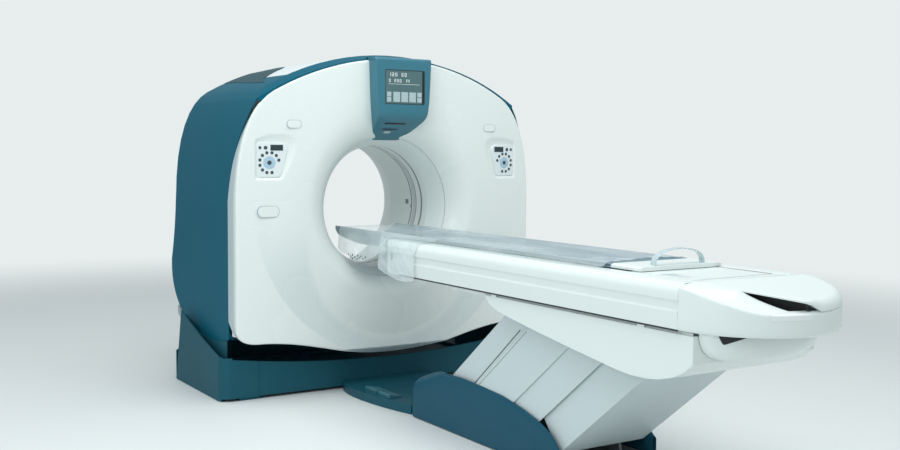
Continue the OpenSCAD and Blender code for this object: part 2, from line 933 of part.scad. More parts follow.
// Two bearing brackets for a shaft, on the base's floor plate
module shaft_brackets(p, xs, r) {
    for (s = [-1, 1], x = xs)
        translate([s * x - bracket_t / 2, 0, 0])
            along_x(0, bracket_t) {
                polygon([[p[0] - r - 20, 12], [p[0] + r + 20, 12], [p[0] + r, p[1]], [p[0] - r, p[1]]]);
                translate(p)
                    circle(r = r);
            }
}

panel_pin_x = table_base_half_w - 12;
module table_base_frame() color(steel) {
    difference() {
        union() {
            block(-230, 230, -2360, table_base_front_y - 90 - gap, 0, 24);
            shaft_brackets(P1, [base_arm_x + 44], 40);
            shaft_brackets(P2, [rear_arm_x + 44], 38);
            // Side plates that carry the leg panels' lower pins
            for (s = [-1, 1], p = [PB, PC]) {
                side_pin(s, pin_r, 240, 266, p[0], p[1]);
                translate([s > 0 ? 260 : -266, 0, 0])
                    along_x(0, 6) {
                        polygon([[p[0] - 30, 0], [p[0] + 30, 0], [p[0] + 20, p[1]], [p[0] - 20, p[1]]]);
                        translate(p)
                            circle(r = 20);
                    }
                side_block(s, 225, 266, p[0] - 30, p[0] + 30, 0, 12);
            }
        }
        for (p = [P1, P2])
            cross_pin(shaft_r, -300, 300, p[0], p[1]);
        for (x = [-180, 180], y = [-1280, -2320])
            translate([x, y, -1])
                cylinder(r = screw_r, h = 40);
    }
}

// Side view of the table base's skirts
module table_skirt_view() {
    f = table_base_front_y;
    r = table_base_rear_y;
    polygon(concat(
        [[f, 0]],
        curve([f, 90], [f - 6, 190], [f - 80, 232], [f - 190, 254], 5),
        curve([f - 190, 254], [-1480, 282], [-1700, 286], [-1960, 258], 6),
        curve([-1960, 258], [-2180, 234], [r + 8, 190], [r, 100], 6),
        [[r, 0]]
    ));
}

module table_base_cover() color(teal_cover) {
    w = table_base_half_w;
    difference() {
        intersection() {
            along_x(-w, w)
                table_skirt_view();
            linear_extrude(400)
                polygon(concat(
                    arc([w - 50, table_base_front_y - 50], 50, 90, 0, 4),
                    [[w, table_base_rear_y - 1], [-w, table_base_rear_y - 1]],
                    arc([-w + 50, table_base_front_y - 50], 50, 180, 90, 4)
                ));
        }
        // Room between the skirts for the leg
        block(-w + 8, w - 8, table_base_rear_y - 10, table_base_front_y - 90, -1, 400);
    }
}

module lower_shafts() color(machined) {
    cross_pin(shaft_r - running, -base_arm_x - 56, base_arm_x + 56, P1[0], P1[1]);
    cross_pin(shaft_r - running, -rear_arm_x - 56, rear_arm_x + 56, P2[0], P2[1]);
}

module lift_gearmotor() color(steel) {
    block(-60, 60, P1[0] + 120, P1[0] + 240, 24 + gap, 190);
    translate([0, P1[0] + 120, 107])
        rotate([90, 0, 0])
            cylinder(r = 45, h = 50);
}

plate_h = 46;
plate_rear_y = base_front_y - gap;
plate_front_y = table_base_front_y + gap;
plate_edge = curve([258, plate_front_y], [330, -900], [360, -560], [275, plate_rear_y], 8);
module footswitch_plate() color(teal_cover) {
    difference() {
        linear_extrude(plate_h)
            polygon(concat(plate_edge, mirrored(plate_edge)));
        for (s = [-1, 1], p = pedal_places) {
            pedal_well(s, p, 3);
            pedal_pin(s, p, pedal_pin_r + running, 8);
        }
    }
}

pedal_places = [-760, -905];
module pedal_well(s, y, d) {
    translate([s * 238, y, 18])
        block(-40 - d, 40 + d, -62 - d, 62 + d, 0, 60);
}

pedal_pin_r = 4;
module pedal_pin(s, y, r, over) {
    translate([s * (238 - 32), y - 62 - over, 35])
        rotate([-90, 0, 0])
            cylinder(r = r, h = 124 + 2 * over);
}

// A foot pedal in its well: a sloped treadle on a hinge pin at its inner edge
module pedal(s, y) {
    translate([s * 238, y, 0])
        along_y(-62, 62)
            scale([s, 1])
                polygon([[-40, 26], [40, 26], [40, 60], [34, 66], [-40, 52]]);
    pedal_pin(s, y, pedal_pin_r, 7);
}

module left_raise_pedal() color(teal_dark) pedal(-1, pedal_places[0]);

module left_lower_pedal() color(teal_dark) pedal(-1, pedal_places[1]);

module right_raise_pedal() color(teal_dark) pedal(1, pedal_places[0]);

module right_lower_pedal() color(teal_dark) pedal(1, pedal_places[1]);

// Lift arms and leg covers, drawn as they stand

// A bar between two pivots, with round ends
module bar_outline(p, r) {
    polygon([p + r * [n_y, n_z], p - r * [n_y, n_z], p + lift - r * [n_y, n_z], p + lift + r * [n_y, n_z]]);
    translate(p)
        circle(r = r);
    translate(p + lift)
        circle(r = r);
}

module lift_arm(p, x) {
    difference() {
        union() {
            for (s = [-1, 1])
                translate([s * x - 15, 0, 0])
                    along_x(0, 30)
                        bar_outline(p, arm_half);
            for (t = [0.25, 0.5, 0.75])
                cross_pin(arm_half - 8, -x, x, p[0] + t * lift[0], p[1] + t * lift[1]);
        }
        for (q = [p, p + lift])
            cross_pin(shaft_r, -x - 20, x + 20, q[0], q[1]);
    }
}

module front_arm() color(steel) lift_arm(P1, base_arm_x);

module rear_arm() color(steel) lift_arm(P2, rear_arm_x);

// A strip along the arms' direction, from s0 to s1 across and t0 to t1 along
function strip(p, s0, s1, t0, t1) = [
    for (c = [[t0, s0], [t1, s0], [t1, s1], [t0, s1]])
        p + [c[0] * u_y + c[1] * n_y, c[0] * u_z + c[1] * n_z]
];

lane = 7;
panel_out = 258;

// Channel over one arm: two side plates, and a wall on the side that shows
module leg_channel(p, out, s_open, s_wall, t0, t1) {
    inner = s_wall > s_open ? s_wall - leg_wall : s_wall + leg_wall;
    for (s = [-1, 1])
        translate([s > 0 ? out - leg_wall : -out, 0, 0])
            along_x(0, leg_wall)
                polygon(strip(p, min(s_open, s_wall), max(s_open, s_wall), t0, t1));
    along_x(-out + 1, out - 1)
        polygon(strip(p, min(s_wall, inner), max(s_wall, inner), t0, t1));
}

// Lugs that join a channel to its arm's bars
module channel_lugs(p, out, x, s_wall) {
    low = s_wall > 0 ? arm_half + gap : s_wall;
    high = s_wall > 0 ? s_wall : -arm_half - gap;
    for (s = [-1, 1])
        translate([s * x - 10, 0, 0])
            along_x(0, 20)
                polygon(strip(p, low, high, 380, 440));
}

module front_leg_cover() color(white_cover) {
    leg_channel(P1, panel_out - 2 * lane, -90, 80, 60, 790);
    channel_lugs(P1, panel_out - 2 * lane, base_arm_x, 79);
}

module rear_leg_cover() color(white_cover) {
    leg_channel(P2, panel_out - 3 * lane, 108, -88, 45, 800);
    channel_lugs(P2, panel_out - 3 * lane, rear_arm_x, -87);
}

module leg_panel(p, out, s0, s1, t0, t1) {
    for (s = [-1, 1])
        translate([s > 0 ? out - leg_wall : -out, 0, 0])
            difference() {
                along_x(0, leg_wall)
                    polygon(strip(p, s0, s1, t0, t1));
                cross_pin(pin_r + running, -1, leg_wall + 1, p[0], p[1]);
                cross_pin(pin_r + 2, -1, leg_wall + 1, p[0] + lift[0], p[1] + lift[1]);
            }
}

module middle_front_panels() color(white_cover) leg_panel(PB, panel_out, -104, 104, -30, 835);

module middle_rear_panels() color(white_cover) leg_panel(PC, panel_out - lane, -89, 92, -30, 835);

// Table top

frame_low = 782;
frame_high = 850;
// Where the frame's arms carry the belly
belly_tabs = [-2000, -2950];
module table_frame() color(steel) {
    difference() {
        union() {
            for (s = [-1, 1])
                side_block(s, 205, 290, tail_seam_y + 40, table_front_y - 60, frame_low, frame_high);
            for (y = [table_front_y - 120, -1900, -2500, tail_seam_y + 40])
                block(-210, 210, y, y + 60, frame_low, frame_high);
            for (s = [-1, 1]) {
                // Foot that the tail cover rests on
                side_block(s, 150, 200, tail_seam_y - 180, tail_seam_y + 100,
                    side_low_z + 6 + gap, frame_low + 10);
                // Hangers of the arms' upper shafts
                translate([s * (base_arm_x + 62) - bracket_t / 2, 0, 0])
                    along_x(0, bracket_t)
                        hanger_outline(P1 + lift);
                translate([s * (rear_arm_x + 120) - bracket_t / 2, 0, 0])
                    along_x(0, bracket_t)
                        hanger_outline(P2 + lift);
                // Plates with the leg panels' upper pins
                for (p = [PB + lift, PC + lift]) {
                    translate([s > 0 ? 268 : -280, 0, 0])
                        along_x(0, 12)
                            hanger_outline(p);
                    side_pin(s, pin_r, 240, 270, p[0], p[1]);
                }
                // Arms that carry the belly's sides
                for (y = belly_tabs)
                    side_block(s, 282, belly_half_w - table_wall - gap,
                        y, y + 40, belly_top_z + 28, frame_high);
            }
        }
        for (q = [P1 + lift, P2 + lift])
            cross_pin(shaft_r, -300, 300, q[0], q[1]);
    }
}

module hanger_outline(p) {
    r = shaft_r + 14;
    z = frame_low + 10;
    polygon([[p[0] - r, p[1]], [p[0] + r, p[1]], [p[0] + 60, z], [p[0] - 60, z]]);
    translate(p)
        circle(r = r);
}

module upper_shafts() color(machined) {
    for (q = [[P1 + lift, base_arm_x + 74], [P2 + lift, rear_arm_x + 132]])
        cross_pin(shaft_r - running, -q[1], q[1], q[0][0], q[0][1]);
}

module slide_rails() color(machined) {
    for (s = [-1, 1])
        side_block(s, 150, 190, deck_front_y + 10, table_front_y - 65, frame_high + gap, bed_z - gap);
}

// Fixed deck behind the cradle, with a slot that the cradle's drive runs in
deck_front_y = -2770;
deck_rear_y = -3091;
module rear_deck() color(white_cover) {
    difference() {
        union() {
            block(-cradle_half_w - 7, cradle_half_w + 7, tail_seam_y + seam, deck_front_y,
                shoulder_z - 6, shoulder_z);
            for (s = [-1, 1])
                side_block(s, 206, 214, tail_seam_y + 50, deck_front_y - 20, frame_high + gap, shoulder_z);
        }
        block(190, 199, deck_rear_y, deck_front_y + 1, shoulder_z - 7, shoulder_z + 1);
        latch_pocket(gap);
    }
}

module latch_pocket(d)
    block(-204 - d, -140 + d, -3030 - d, -2900 + d, shoulder_z - 4 - d, shoulder_z + 1);

shoulder_z = cradle_z - 18;
// Section of a side panel: a rounded shoulder, a long groove and the lower edge
function panel_section(d) = concat(
    [[cradle_half_w + 8 + d / 2, shoulder_z - 10 - d], [cradle_half_w + 12 + d / 2, shoulder_z - d]],
    arc([table_half_w - 46, shoulder_z - 46], 46 - d, 90, 10, 6),
    [[table_half_w - d, 834], [table_half_w - 7 - d, 826], [table_half_w - 7 - d, 800],
    [table_half_w - d, 792], [table_half_w - 6 - d, side_low_z]]
);

module side_panel() {
    along_y(tail_seam_y + seam, table_front_y - 90)
        polygon(concat(panel_section(0), reversed(panel_section(table_wall))));
    // Ledge that rests on the frame's beam
    for (y = [-3000, -2300, -1700, -1300])
        block(290 + gap, table_half_w - table_wall - 5, y, y + 30, 800, 824);
}

module right_side_panel() color(white_cover) side_panel();

module left_side_panel() color(white_cover) mirror([1, 0, 0]) side_panel();

module cap_plan(d) {
    w = table_half_w - d;
    polygon(concat(
        arc([w - 70 + d, table_front_y - 70], 70 - d, 0, 90, 5),
        arc([-w + 70 - d, table_front_y - 70], 70 - d, 90, 180, 5),
        [[-w, table_front_y - 100], [w, table_front_y - 100]]
    ));
}

// Front end of the table: the side panels' section, closed and rounded
module front_end_cap() color(white_cover) {
    y = table_front_y;
    difference() {
        intersection() {
            along_y(table_front_y - 90 + seam, table_front_y)
                polygon(concat(panel_section(0), mirrored(panel_section(0))));
            linear_extrude(1200)
                cap_plan(0);
            along_x(-400, 400)
                polygon(concat(
                    [[y - 120, side_low_z - 22], [y - 120, cradle_z + 7], [y, cradle_z + 7]],
                    curve([y, 800], [y, 740], [y - 60, side_low_z], [y - 120, side_low_z], 5)
                ));
        }
        intersection() {
            translate([0, 0, side_low_z + 6])
                linear_extrude(shoulder_z - side_low_z - 2 * table_wall)
                    cap_plan(table_wall);
            along_y(table_front_y - 120, table_front_y)
                polygon(concat(panel_section(table_wall), mirrored(panel_section(table_wall))));
        }
        block(-cradle_half_w - 8, cradle_half_w + 8, table_front_y - 200, table_front_y + 10, 850, 920);
    }
}

// Side view of the belly: its lower edge falls to the rear and then rises into the tail
belly_front_y = -1900;
belly_end_y = tail_seam_y - 60;
belly_top_z = side_low_z - 10;
module belly_view() {
    y = belly_end_y;
    z = belly_top_z;
    front = belly_front_y;
    polygon(concat(
        [[front, z], [front - 45, z - 40]],
        curve([front - 110, z - 64], [y + 1000, z - 100], [y + 700, z - 146], [y + 400, z - 186], 6),
        curve([y + 400, z - 186], [y + 240, z - 207], [y + 80, z - 184], [y, z - 102], 6),
        [[y, z]]
    ));
}

module belly_cover() color(white_cover) {
    y = belly_end_y;
    z = belly_top_z;
    front = belly_front_y + 100;
    difference() {
        along_x(-belly_half_w, belly_half_w)
            belly_view();
        // Open below, with a wall left where the lower edge rises into the tail
        along_x(-belly_half_w + table_wall, belly_half_w - table_wall)
            polygon([
                [front, 400], [y + 190, 400], [y + 100, z - 152],
                [y + 10, z - 72], [y + 10, z + 50], [front, z + 50]
            ]);
    }
    // Tabs up to the frame's arms
    for (s = [-1, 1], tab_y = belly_tabs)
        side_block(s, belly_half_w - table_wall, belly_half_w, tab_y, tab_y + 40, z - 2, z + 68);
}

tail_r = table_half_w;
rim_end_z = 812;
function tail_plan(r) = arc([0, tail_seam_y], r, 180, 360, 24);

module tail_cover() color(white_cover) {
    y = tail_seam_y;
    end = tail_seam_y - tail_r;
    z = shoulder_z;
    difference() {
        union() {
            // Bowl, whose rim falls towards the tail
            intersection() {
                linear_extrude(1000)
                    polygon(tail_plan(tail_r));
                along_x(-400, 400)
                    polygon([
                        [y, side_low_z], [y, z], [y - 60, z - 8],
                        [end, rim_end_z], [end, 780], [y - 200, side_low_z]
                    ]);
            }
            // Lid over the rim, which leaves a hand slot on each side
            intersection() {
                linear_extrude(1000)
                    polygon(concat(
                        [[230, y], [-230, y], [-206, y - 160]],
                        arc([0, y], tail_r, 257, 283, 6),
                        [[206, y - 160]]
                    ));
                along_x(-400, 400)
                    polygon([
                        [y, 840], [y, z], [y - 120, z - 8],
                        [end + 40, 862], [end, 835], [end, 800]
                    ]);
            }
        }
        // Hollow inside, open to the table
        intersection() {
            linear_extrude(1000)
                polygon(tail_plan(tail_r - table_wall));
            along_x(-400, 400)
                polygon([
                    [y + 1, side_low_z + 6], [y + 1, z - 6], [y - 120, z - 16],
                    [end + 44, 848], [end + 44, 800], [y - 200, side_low_z + 6]
                ]);
            block(-210, 210, y - 300, y + 1, 0, 1000);
        }
        // Hand slots
        for (s = [-1, 1])
            scale([s, 1, 1])
                hand_slot();
    }
}

module hand_slot() {
    translate([0, 0, 826])
        linear_extrude(26)
            polygon([
                [75, tail_seam_y - 300], [75, tail_seam_y - tail_r - 10], [330, tail_seam_y - tail_r - 10],
                [330, tail_seam_y - 190], [225, tail_seam_y - 170]
            ]);
}

module tail_chin() color(white_cover) {
    r = belly_half_w - 22;
    y = belly_end_y - 2;
    z = side_low_z - gap;
    difference() {
        intersection() {
            linear_extrude(1000)
                polygon(concat([[r, y], [-r, y]], arc([0, tail_seam_y], r, 192, 348, 16)));
            along_x(-400, 400)
                polygon(concat(
                    [[y, z]],
                    curve([y, z - 102], [y - 58, z - 82], [y - 138, z - 67], [y - 243, z - 32], 4),
                    [[y - 243, z]]
                ));
        }
        // Wedge-shaped recess under the tail
        for (s = [-1, 1])
            scale([s, 1, 1])
                along_x(r - 90, r + 10)
                    polygon([[y - 60, z + 1], [y - 68, z - 28], [y - 183, z + 1]]);
    }
}

// Cradle and what rides on it

cradle_rear_y = tip_y - cradle_l;
thin_y = -2480;
thin_z = shoulder_z + 2;
trough_depth = 118;
trough_r = (cradle_half_w * cradle_half_w + trough_depth * trough_depth) / (2 * trough_depth);
trough_wall = 26;
// Height of the cradle's flat underside, just above the slide rails
bed_z = cradle_z - 38;

// Section of the cradle: a shallow arc with a thick middle
function trough(depth, w) = let (
    r = (w * w + depth * depth) / (2 * depth),
    a = asin(w / r)
) arc([0, cradle_z - depth + r], r, 270 - a, 270 + a, 16);

module cradle_section(depth) {
    w = cradle_half_w;
    polygon(concat(
        trough(depth, w),
        [[w - 9, cradle_z]],
        reversed(trough(depth - trough_wall, w - 14))
    ));
}

module cradle() color(carbon_grey) {
    w = cradle_half_w;
    intersection() {
        along_y(cradle_rear_y, tip_y)
            cradle_section(trough_depth);
        linear_extrude(1200)
            polygon(concat(
                arc([w - 90, tip_y - 90], 90, 0, 90, 5),
                arc([-w + 90, tip_y - 90], 90, 90, 180, 5),
                [[-w, cradle_rear_y], [w, cradle_rear_y]]
            ));
        along_x(-300, 300)
            polygon([
                [tip_y, cradle_z + 10], [tip_y, cradle_z - 50], [tip_y - 110, cradle_z - trough_depth],
                [tip_y - 380, cradle_z - trough_depth], [tip_y - 610, bed_z], [thin_y, bed_z],
                [thin_y, thin_z], [cradle_rear_y, thin_z], [cradle_rear_y, cradle_z + 10]
            ]);
    }
    // Flat bed behind the nose, which closes the arc above the rails
    block(-w + 22, w - 22, thin_y, tip_y - 640, bed_z, bed_z + 8);
    block(-w + 4, w - 4, cradle_rear_y, thin_y + 40, thin_z, thin_z + 5);
}

module cradle_end() color(white_cover) {
    half = [[cradle_half_w, thin_z], [cradle_half_w, thin_z + 12], [cradle_half_w - 14, thin_z + 18]];
    along_y(cradle_rear_y - tail_end_l, cradle_rear_y - gap)
        polygon(concat(half, mirrored(half)));
}

hoop_half = 135;
hoop_y = cradle_rear_y - tail_end_l + 25;
module hoop_handle() color([0.75, 0.85, 0.88]) {
    hoop_base = thin_z + 18 + gap;
    along_y(hoop_y - 11, hoop_y + 11)
        polygon(concat(
            [for (i = [0:16]) let (a = 180 * i / 16) [hoop_half * cos(a), hoop_base + 66 * sin(a)]],
            [for (i = [16:-1:0]) let (a = 180 * i / 16) [(hoop_half - 18) * cos(a), hoop_base + 50 * sin(a)]]
        ));
}

module end_latch() color(grey_cover) {
    difference() {
        latch_pocket(0);
        // Finger grooves, below the deck's surface
        for (i = [0:6])
            block(-205, -139, -3026 + 18 * i, -3016 + 18 * i, shoulder_z - 2.5, shoulder_z + 2);
        block(-205, -139, -3031, -2899, shoulder_z, shoulder_z + 2);
    }
}

// Clear sheet that lies over the cradle and hangs at its sides
module vinyl_sheet() color([0.80, 0.88, 0.90]) {
    outer = cradle_half_w + 1.5;
    inner = cradle_half_w + 0.5;
    low = cradle_z - 14;
    along_y(cradle_rear_y + 40, tip_y - 90)
        polygon([
            [-outer, low], [-outer, cradle_z + 2], [outer, cradle_z + 2], [outer, low],
            [inner, low], [inner, cradle_z + 0.5], [-inner, cradle_z + 0.5], [-inner, low]
        ]);
}

gantry_base_frame();
base_front_cover();
base_left_cover();
base_right_cover();
base_rear_cover();
tilt_frame();
front_cover();
rear_cover();
left_side_cover();
right_side_cover();
top_cover();
top_band();
console_housing();
console_screen();
left_keypad();
right_keypad();
cover_caps();
front_liner();
scan_window();
rear_liner();
bearing_ring();
drive_motor();
drive_belt();
rotor_drum();
xray_tube();
collimator();
detector_arc();
generator();
slip_ring();
motor_pulley();
table_base_frame();
table_base_cover();
lower_shafts();
lift_gearmotor();
footswitch_plate();
left_raise_pedal();
left_lower_pedal();
right_raise_pedal();
right_lower_pedal();
front_arm();
front_leg_cover();
rear_arm();
rear_leg_cover();
middle_front_panels();
middle_rear_panels();
table_frame();
left_side_panel();
right_side_panel();
front_end_cap();
belly_cover();
tail_cover();
tail_chin();
upper_shafts();
slide_rails();
rear_deck();
cradle();
cradle_end();
hoop_handle();
end_latch();
vinyl_sheet();
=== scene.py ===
# %% [markdown]
# # Dressing a computed tomography scanner
# The imported model already has every solid of the scanner in its right place: the gantry that tilts on its
# base, the rotor inside it, and the table on its folding leg. This lesson gives each solid its finish, and
# adds the surfaces that a solid modeller makes badly, such as the dished face and the loose film on the
# table.

# %% Load the frame
import json
import math

import bmesh
import bpy
import numpy as np
from mathutils import Matrix

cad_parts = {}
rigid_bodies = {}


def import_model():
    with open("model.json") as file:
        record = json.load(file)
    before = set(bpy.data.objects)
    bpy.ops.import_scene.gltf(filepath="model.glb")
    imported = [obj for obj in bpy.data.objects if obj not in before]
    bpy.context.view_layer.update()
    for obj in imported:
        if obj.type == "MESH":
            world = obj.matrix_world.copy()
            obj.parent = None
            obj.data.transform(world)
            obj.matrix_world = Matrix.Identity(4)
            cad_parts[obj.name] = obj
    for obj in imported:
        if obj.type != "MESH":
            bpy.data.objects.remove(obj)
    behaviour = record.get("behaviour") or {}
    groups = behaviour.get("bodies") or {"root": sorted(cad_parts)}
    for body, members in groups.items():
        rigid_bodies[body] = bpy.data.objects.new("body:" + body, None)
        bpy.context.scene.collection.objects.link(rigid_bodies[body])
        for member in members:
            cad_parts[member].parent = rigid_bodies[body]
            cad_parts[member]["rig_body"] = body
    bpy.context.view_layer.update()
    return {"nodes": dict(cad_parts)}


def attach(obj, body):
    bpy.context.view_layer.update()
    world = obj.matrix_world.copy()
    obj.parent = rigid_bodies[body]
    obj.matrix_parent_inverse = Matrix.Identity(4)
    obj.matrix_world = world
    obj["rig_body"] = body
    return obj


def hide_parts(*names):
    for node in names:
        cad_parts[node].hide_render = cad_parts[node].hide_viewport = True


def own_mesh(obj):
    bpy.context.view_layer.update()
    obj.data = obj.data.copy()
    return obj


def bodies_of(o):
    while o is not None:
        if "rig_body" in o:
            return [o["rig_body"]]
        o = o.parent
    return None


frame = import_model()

nodes = frame["nodes"]

# %% [markdown]
# ## The camera
# A product photograph is taken from one place, and that place can be worked out from sizes that are known,
# such as the 700 mm bore. Here the camera stands 1.36 m high in front of the table's left side. Its turn to
# the right and its small tilt down are written as angles, and the rotation is built from three directions:
# where it looks, its right and its up. This is easier to read than three Euler angles.

# %% Place the camera
def add_object(name, data):
    """A new object in the scene for a mesh, a lamp or a lens."""
    made = bpy.data.objects.new(name, data)
    bpy.context.scene.collection.objects.link(made)
    return made


def pose_of(right, up, back, place):
    """The matrix that turns an object's own axes to three directions and moves it to a place."""
    pose = np.eye(4)
    pose[:3] = np.column_stack([right, up, back, place])
    return Matrix(pose)


camera_place = np.array([-3.0839, -5.9301, 1.3576])
turn, dip, lean = np.radians([32.64, -3.92, 0.42])
ahead = np.array([math.sin(turn) * math.cos(dip), math.cos(turn) * math.cos(dip), math.sin(dip)])
level_right = np.array([math.cos(turn), -math.sin(turn), 0.0])
level_up = np.cross(level_right, ahead)
right = level_right * math.cos(lean) + level_up * math.sin(lean)
up = level_up * math.cos(lean) - level_right * math.sin(lean)

lens = bpy.data.cameras.new("camera")
lens.sensor_width = 36
lens.lens = 43.74
lens.clip_end = 60
camera = add_object("camera", lens)
camera.matrix_world = pose_of(right, up, -ahead, camera_place)
bpy.context.scene.camera = camera
print("camera at", camera_place.tolist())

# %% [markdown]
# ## Shader maths as plain expressions
# A procedural finish is a sum: a base colour, plus some variation, plus some wear. In Blender each step of
# that sum is a node. The small class below wraps a node's output, so that `0.4 + 0.1 * noise` adds the Math
# nodes by itself and the recipe can be read as a formula.

# %% A wrapped socket
def maths(operation, swapped=False):
    """A method that adds one Math node. Swapped, the value itself is the operation's second number."""
    def method(self, other=None):
        sides = (other, self) if swapped else (self, other)
        inputs = {place: side for place, side in enumerate(sides) if side is not None}
        return self.finish.node("ShaderNodeMath", {"operation": operation}, inputs)
    return method


class Value:
    """A number, colour or vector that a node gives. Arithmetic on it adds Math nodes."""

    def __init__(self, finish, socket):
        self.finish, self.socket = finish, socket

    __add__, __radd__ = maths("ADD"), maths("ADD", swapped=True)
    __sub__, __rsub__ = maths("SUBTRACT"), maths("SUBTRACT", swapped=True)
    __mul__, __rmul__ = maths("MULTIPLY"), maths("MULTIPLY", swapped=True)
    __gt__ = maths("GREATER_THAN")
    absolute = maths("ABSOLUTE")
    remainder = maths("FLOORED_MODULO")

    def smooth(self, low, high):
        """0 below low, 1 above high and a soft step between them."""
        return self.finish.node("ShaderNodeMapRange", {"interpolation_type": "SMOOTHSTEP"},
                                {0: self, 1: low, 2: high, 3: 0.0, 4: 1.0})


print("a value can be added, subtracted, multiplied and compared")

# %% [markdown]
# A finish is one material. It keeps itself in the dictionary `finishes` under its name, so that a piece can
# name the finish that it wears. Its helpers add the nodes that nearly every recipe needs: a place on the
# object, a noise, a mix of two colours and a bump.

# %% A finish and its helpers
finishes = {}


class Finish:
    """One material, with its shader, and helpers for its nodes."""

    def __init__(self, name):
        self.material = bpy.data.materials.new(name)
        self.material.use_nodes = True
        self.tree = self.material.node_tree
        self.shader = self.tree.nodes["Principled BSDF"]
        self.coordinates = None
        finishes[name] = self

    def node(self, kind, settings=None, inputs=None, output=0):
        """Adds a node of a kind, sets its settings first, then gives its sockets values or links."""
        made = self.tree.nodes.new(kind)
        for name, value in (settings or {}).items():
            setattr(made, name, value)
        for key, value in (inputs or {}).items():
            self.feed(made.inputs[key], value)
        return Value(self, made.outputs[output])

    def feed(self, socket, value):
        """Links a node's value to a socket, or writes a plain number or colour into it."""
        if isinstance(value, Value):
            self.tree.links.new(value.socket, socket)
        elif socket.type == "RGBA" and len(value) == 3:
            socket.default_value = (*value, 1)
        else:
            socket.default_value = value

    def set(self, **sockets):
        """Feeds the shader's sockets by name, with _ for a space."""
        for name, value in sockets.items():
            self.feed(self.shader.inputs[name.replace("_", " ")], value)

    def object_place(self):
        """Where a point is on the object, in metres."""
        self.coordinates = self.coordinates or self.node("ShaderNodeTexCoord", output=3)
        return self.coordinates

    def axes(self):
        """The point's three coordinates."""
        return [self.node("ShaderNodeSeparateXYZ", None, {0: self.object_place()}, k) for k in range(3)]

    def noise(self, scale, detail=3.0, rough=0.55, stretch=None):
        """Soft noise from 0 to 1. Stretch makes it finer along some axes than along others."""
        where = self.object_place()
        if stretch:
            where = self.node("ShaderNodeVectorMath", {"operation": "MULTIPLY"}, {0: where, 1: stretch})
        return self.node("ShaderNodeTexNoise", None,
                         {"Vector": where, "Scale": scale, "Detail": detail, "Roughness": rough})

    def mix(self, share, a, b):
        """Colour a where share is 0, colour b where it is 1."""
        return self.node("ShaderNodeMix", {"data_type": "RGBA"}, {0: share, 6: a, 7: b}, 2)

    def bump(self, height, distance, strength=1.0):
        """Relief that only bends the light."""
        self.set(Normal=self.node("ShaderNodeBump", None,
                                  {"Height": height, "Distance": distance, "Strength": strength}))


print("finish helpers ready")

# %% [markdown]
# ## Moulded plastic
# Nearly all that shows is moulded plastic. It is never quite one colour: it picks up a faint film of dust
# near the floor, it yellows unevenly, and its skin has a very fine grain that breaks up reflections. The
# recipe is shared, and each cover only chooses its colour and how glossy it is. A second colour, where a
# cover has one, is painted on by a share, a formula that is 1 on the painted parts.

# %% The recipe for moulded plastic
grain_scale, grain_depth = 500.0, 0.00005
dust_colour, dust_top = (0.34, 0.36, 0.36), 0.35


def moulded(name, colour, rough, cloud=0.004, dust=0.0, second=None, share=None, sheen=0.4):
    """Colour in light and shaded patches, a little dust near the floor, and a fine grain."""
    finish = Finish(name)
    shade = tuple(c * (1 - 2.2 * cloud) for c in colour)
    patches = 35.0 if cloud < 0.01 else 1.3
    tint = finish.mix(finish.noise(patches, 2.0).smooth(0.05, 0.95), colour, shade)
    if second:
        tint = finish.mix(share(finish), tint, second)
    if dust:
        low = 1 - finish.axes()[2].smooth(0.0, dust_top)
        tint = finish.mix(low * finish.noise(5.0, 2.0).smooth(0.2, 0.9) * dust, tint, dust_colour)
    finish.set(Base_Color=tint, Roughness=rough + 0.05 * (finish.noise(2.5, 1.0) - 0.5),
               Specular_IOR_Level=sheen)
    finish.bump(finish.noise(grain_scale, 1.0), grain_depth, 0.10)


def between(value, low, high, soft=0.0008):
    """1 where a value is between two limits, 0 elsewhere, with soft ends."""
    return value.smooth(low - soft, low + soft) * (1 - value.smooth(high - soft, high + soft))


def painted_shade_share(finish):
    """The face's mesh says where grey painted shade goes: 1 on its strip, about 0.3 on the dish's sloping
    edge.
    """
    return finish.node("ShaderNodeAttribute", {"attribute_name": "strip"}, None, 2)


def bore_rings(finish):
    """Soft grey rings round the liner, and the dark ports of the positioning light at its right."""
    x, y, z = finish.axes()
    rings = 0.85 * between(y, -0.131, -0.119, 0.002) + 0.80 * between(y, -0.252, -0.234, 0.003)
    port = between(y, -0.086, -0.050) * between(z, 1.024, 1.052) * (x.absolute() > 0.3)
    small = between(y, -0.118, -0.109) * between(z, 1.004, 1.022) * (x > 0.3)
    return rings + 0.9 * port + 0.8 * small


def window_edge(finish):
    """A dark line round the front edge of the scan window."""
    return 0.95 * between(finish.axes()[1], -0.1822, -0.1745)


print("moulded plastic: grain", grain_depth * 1000, "mm deep")
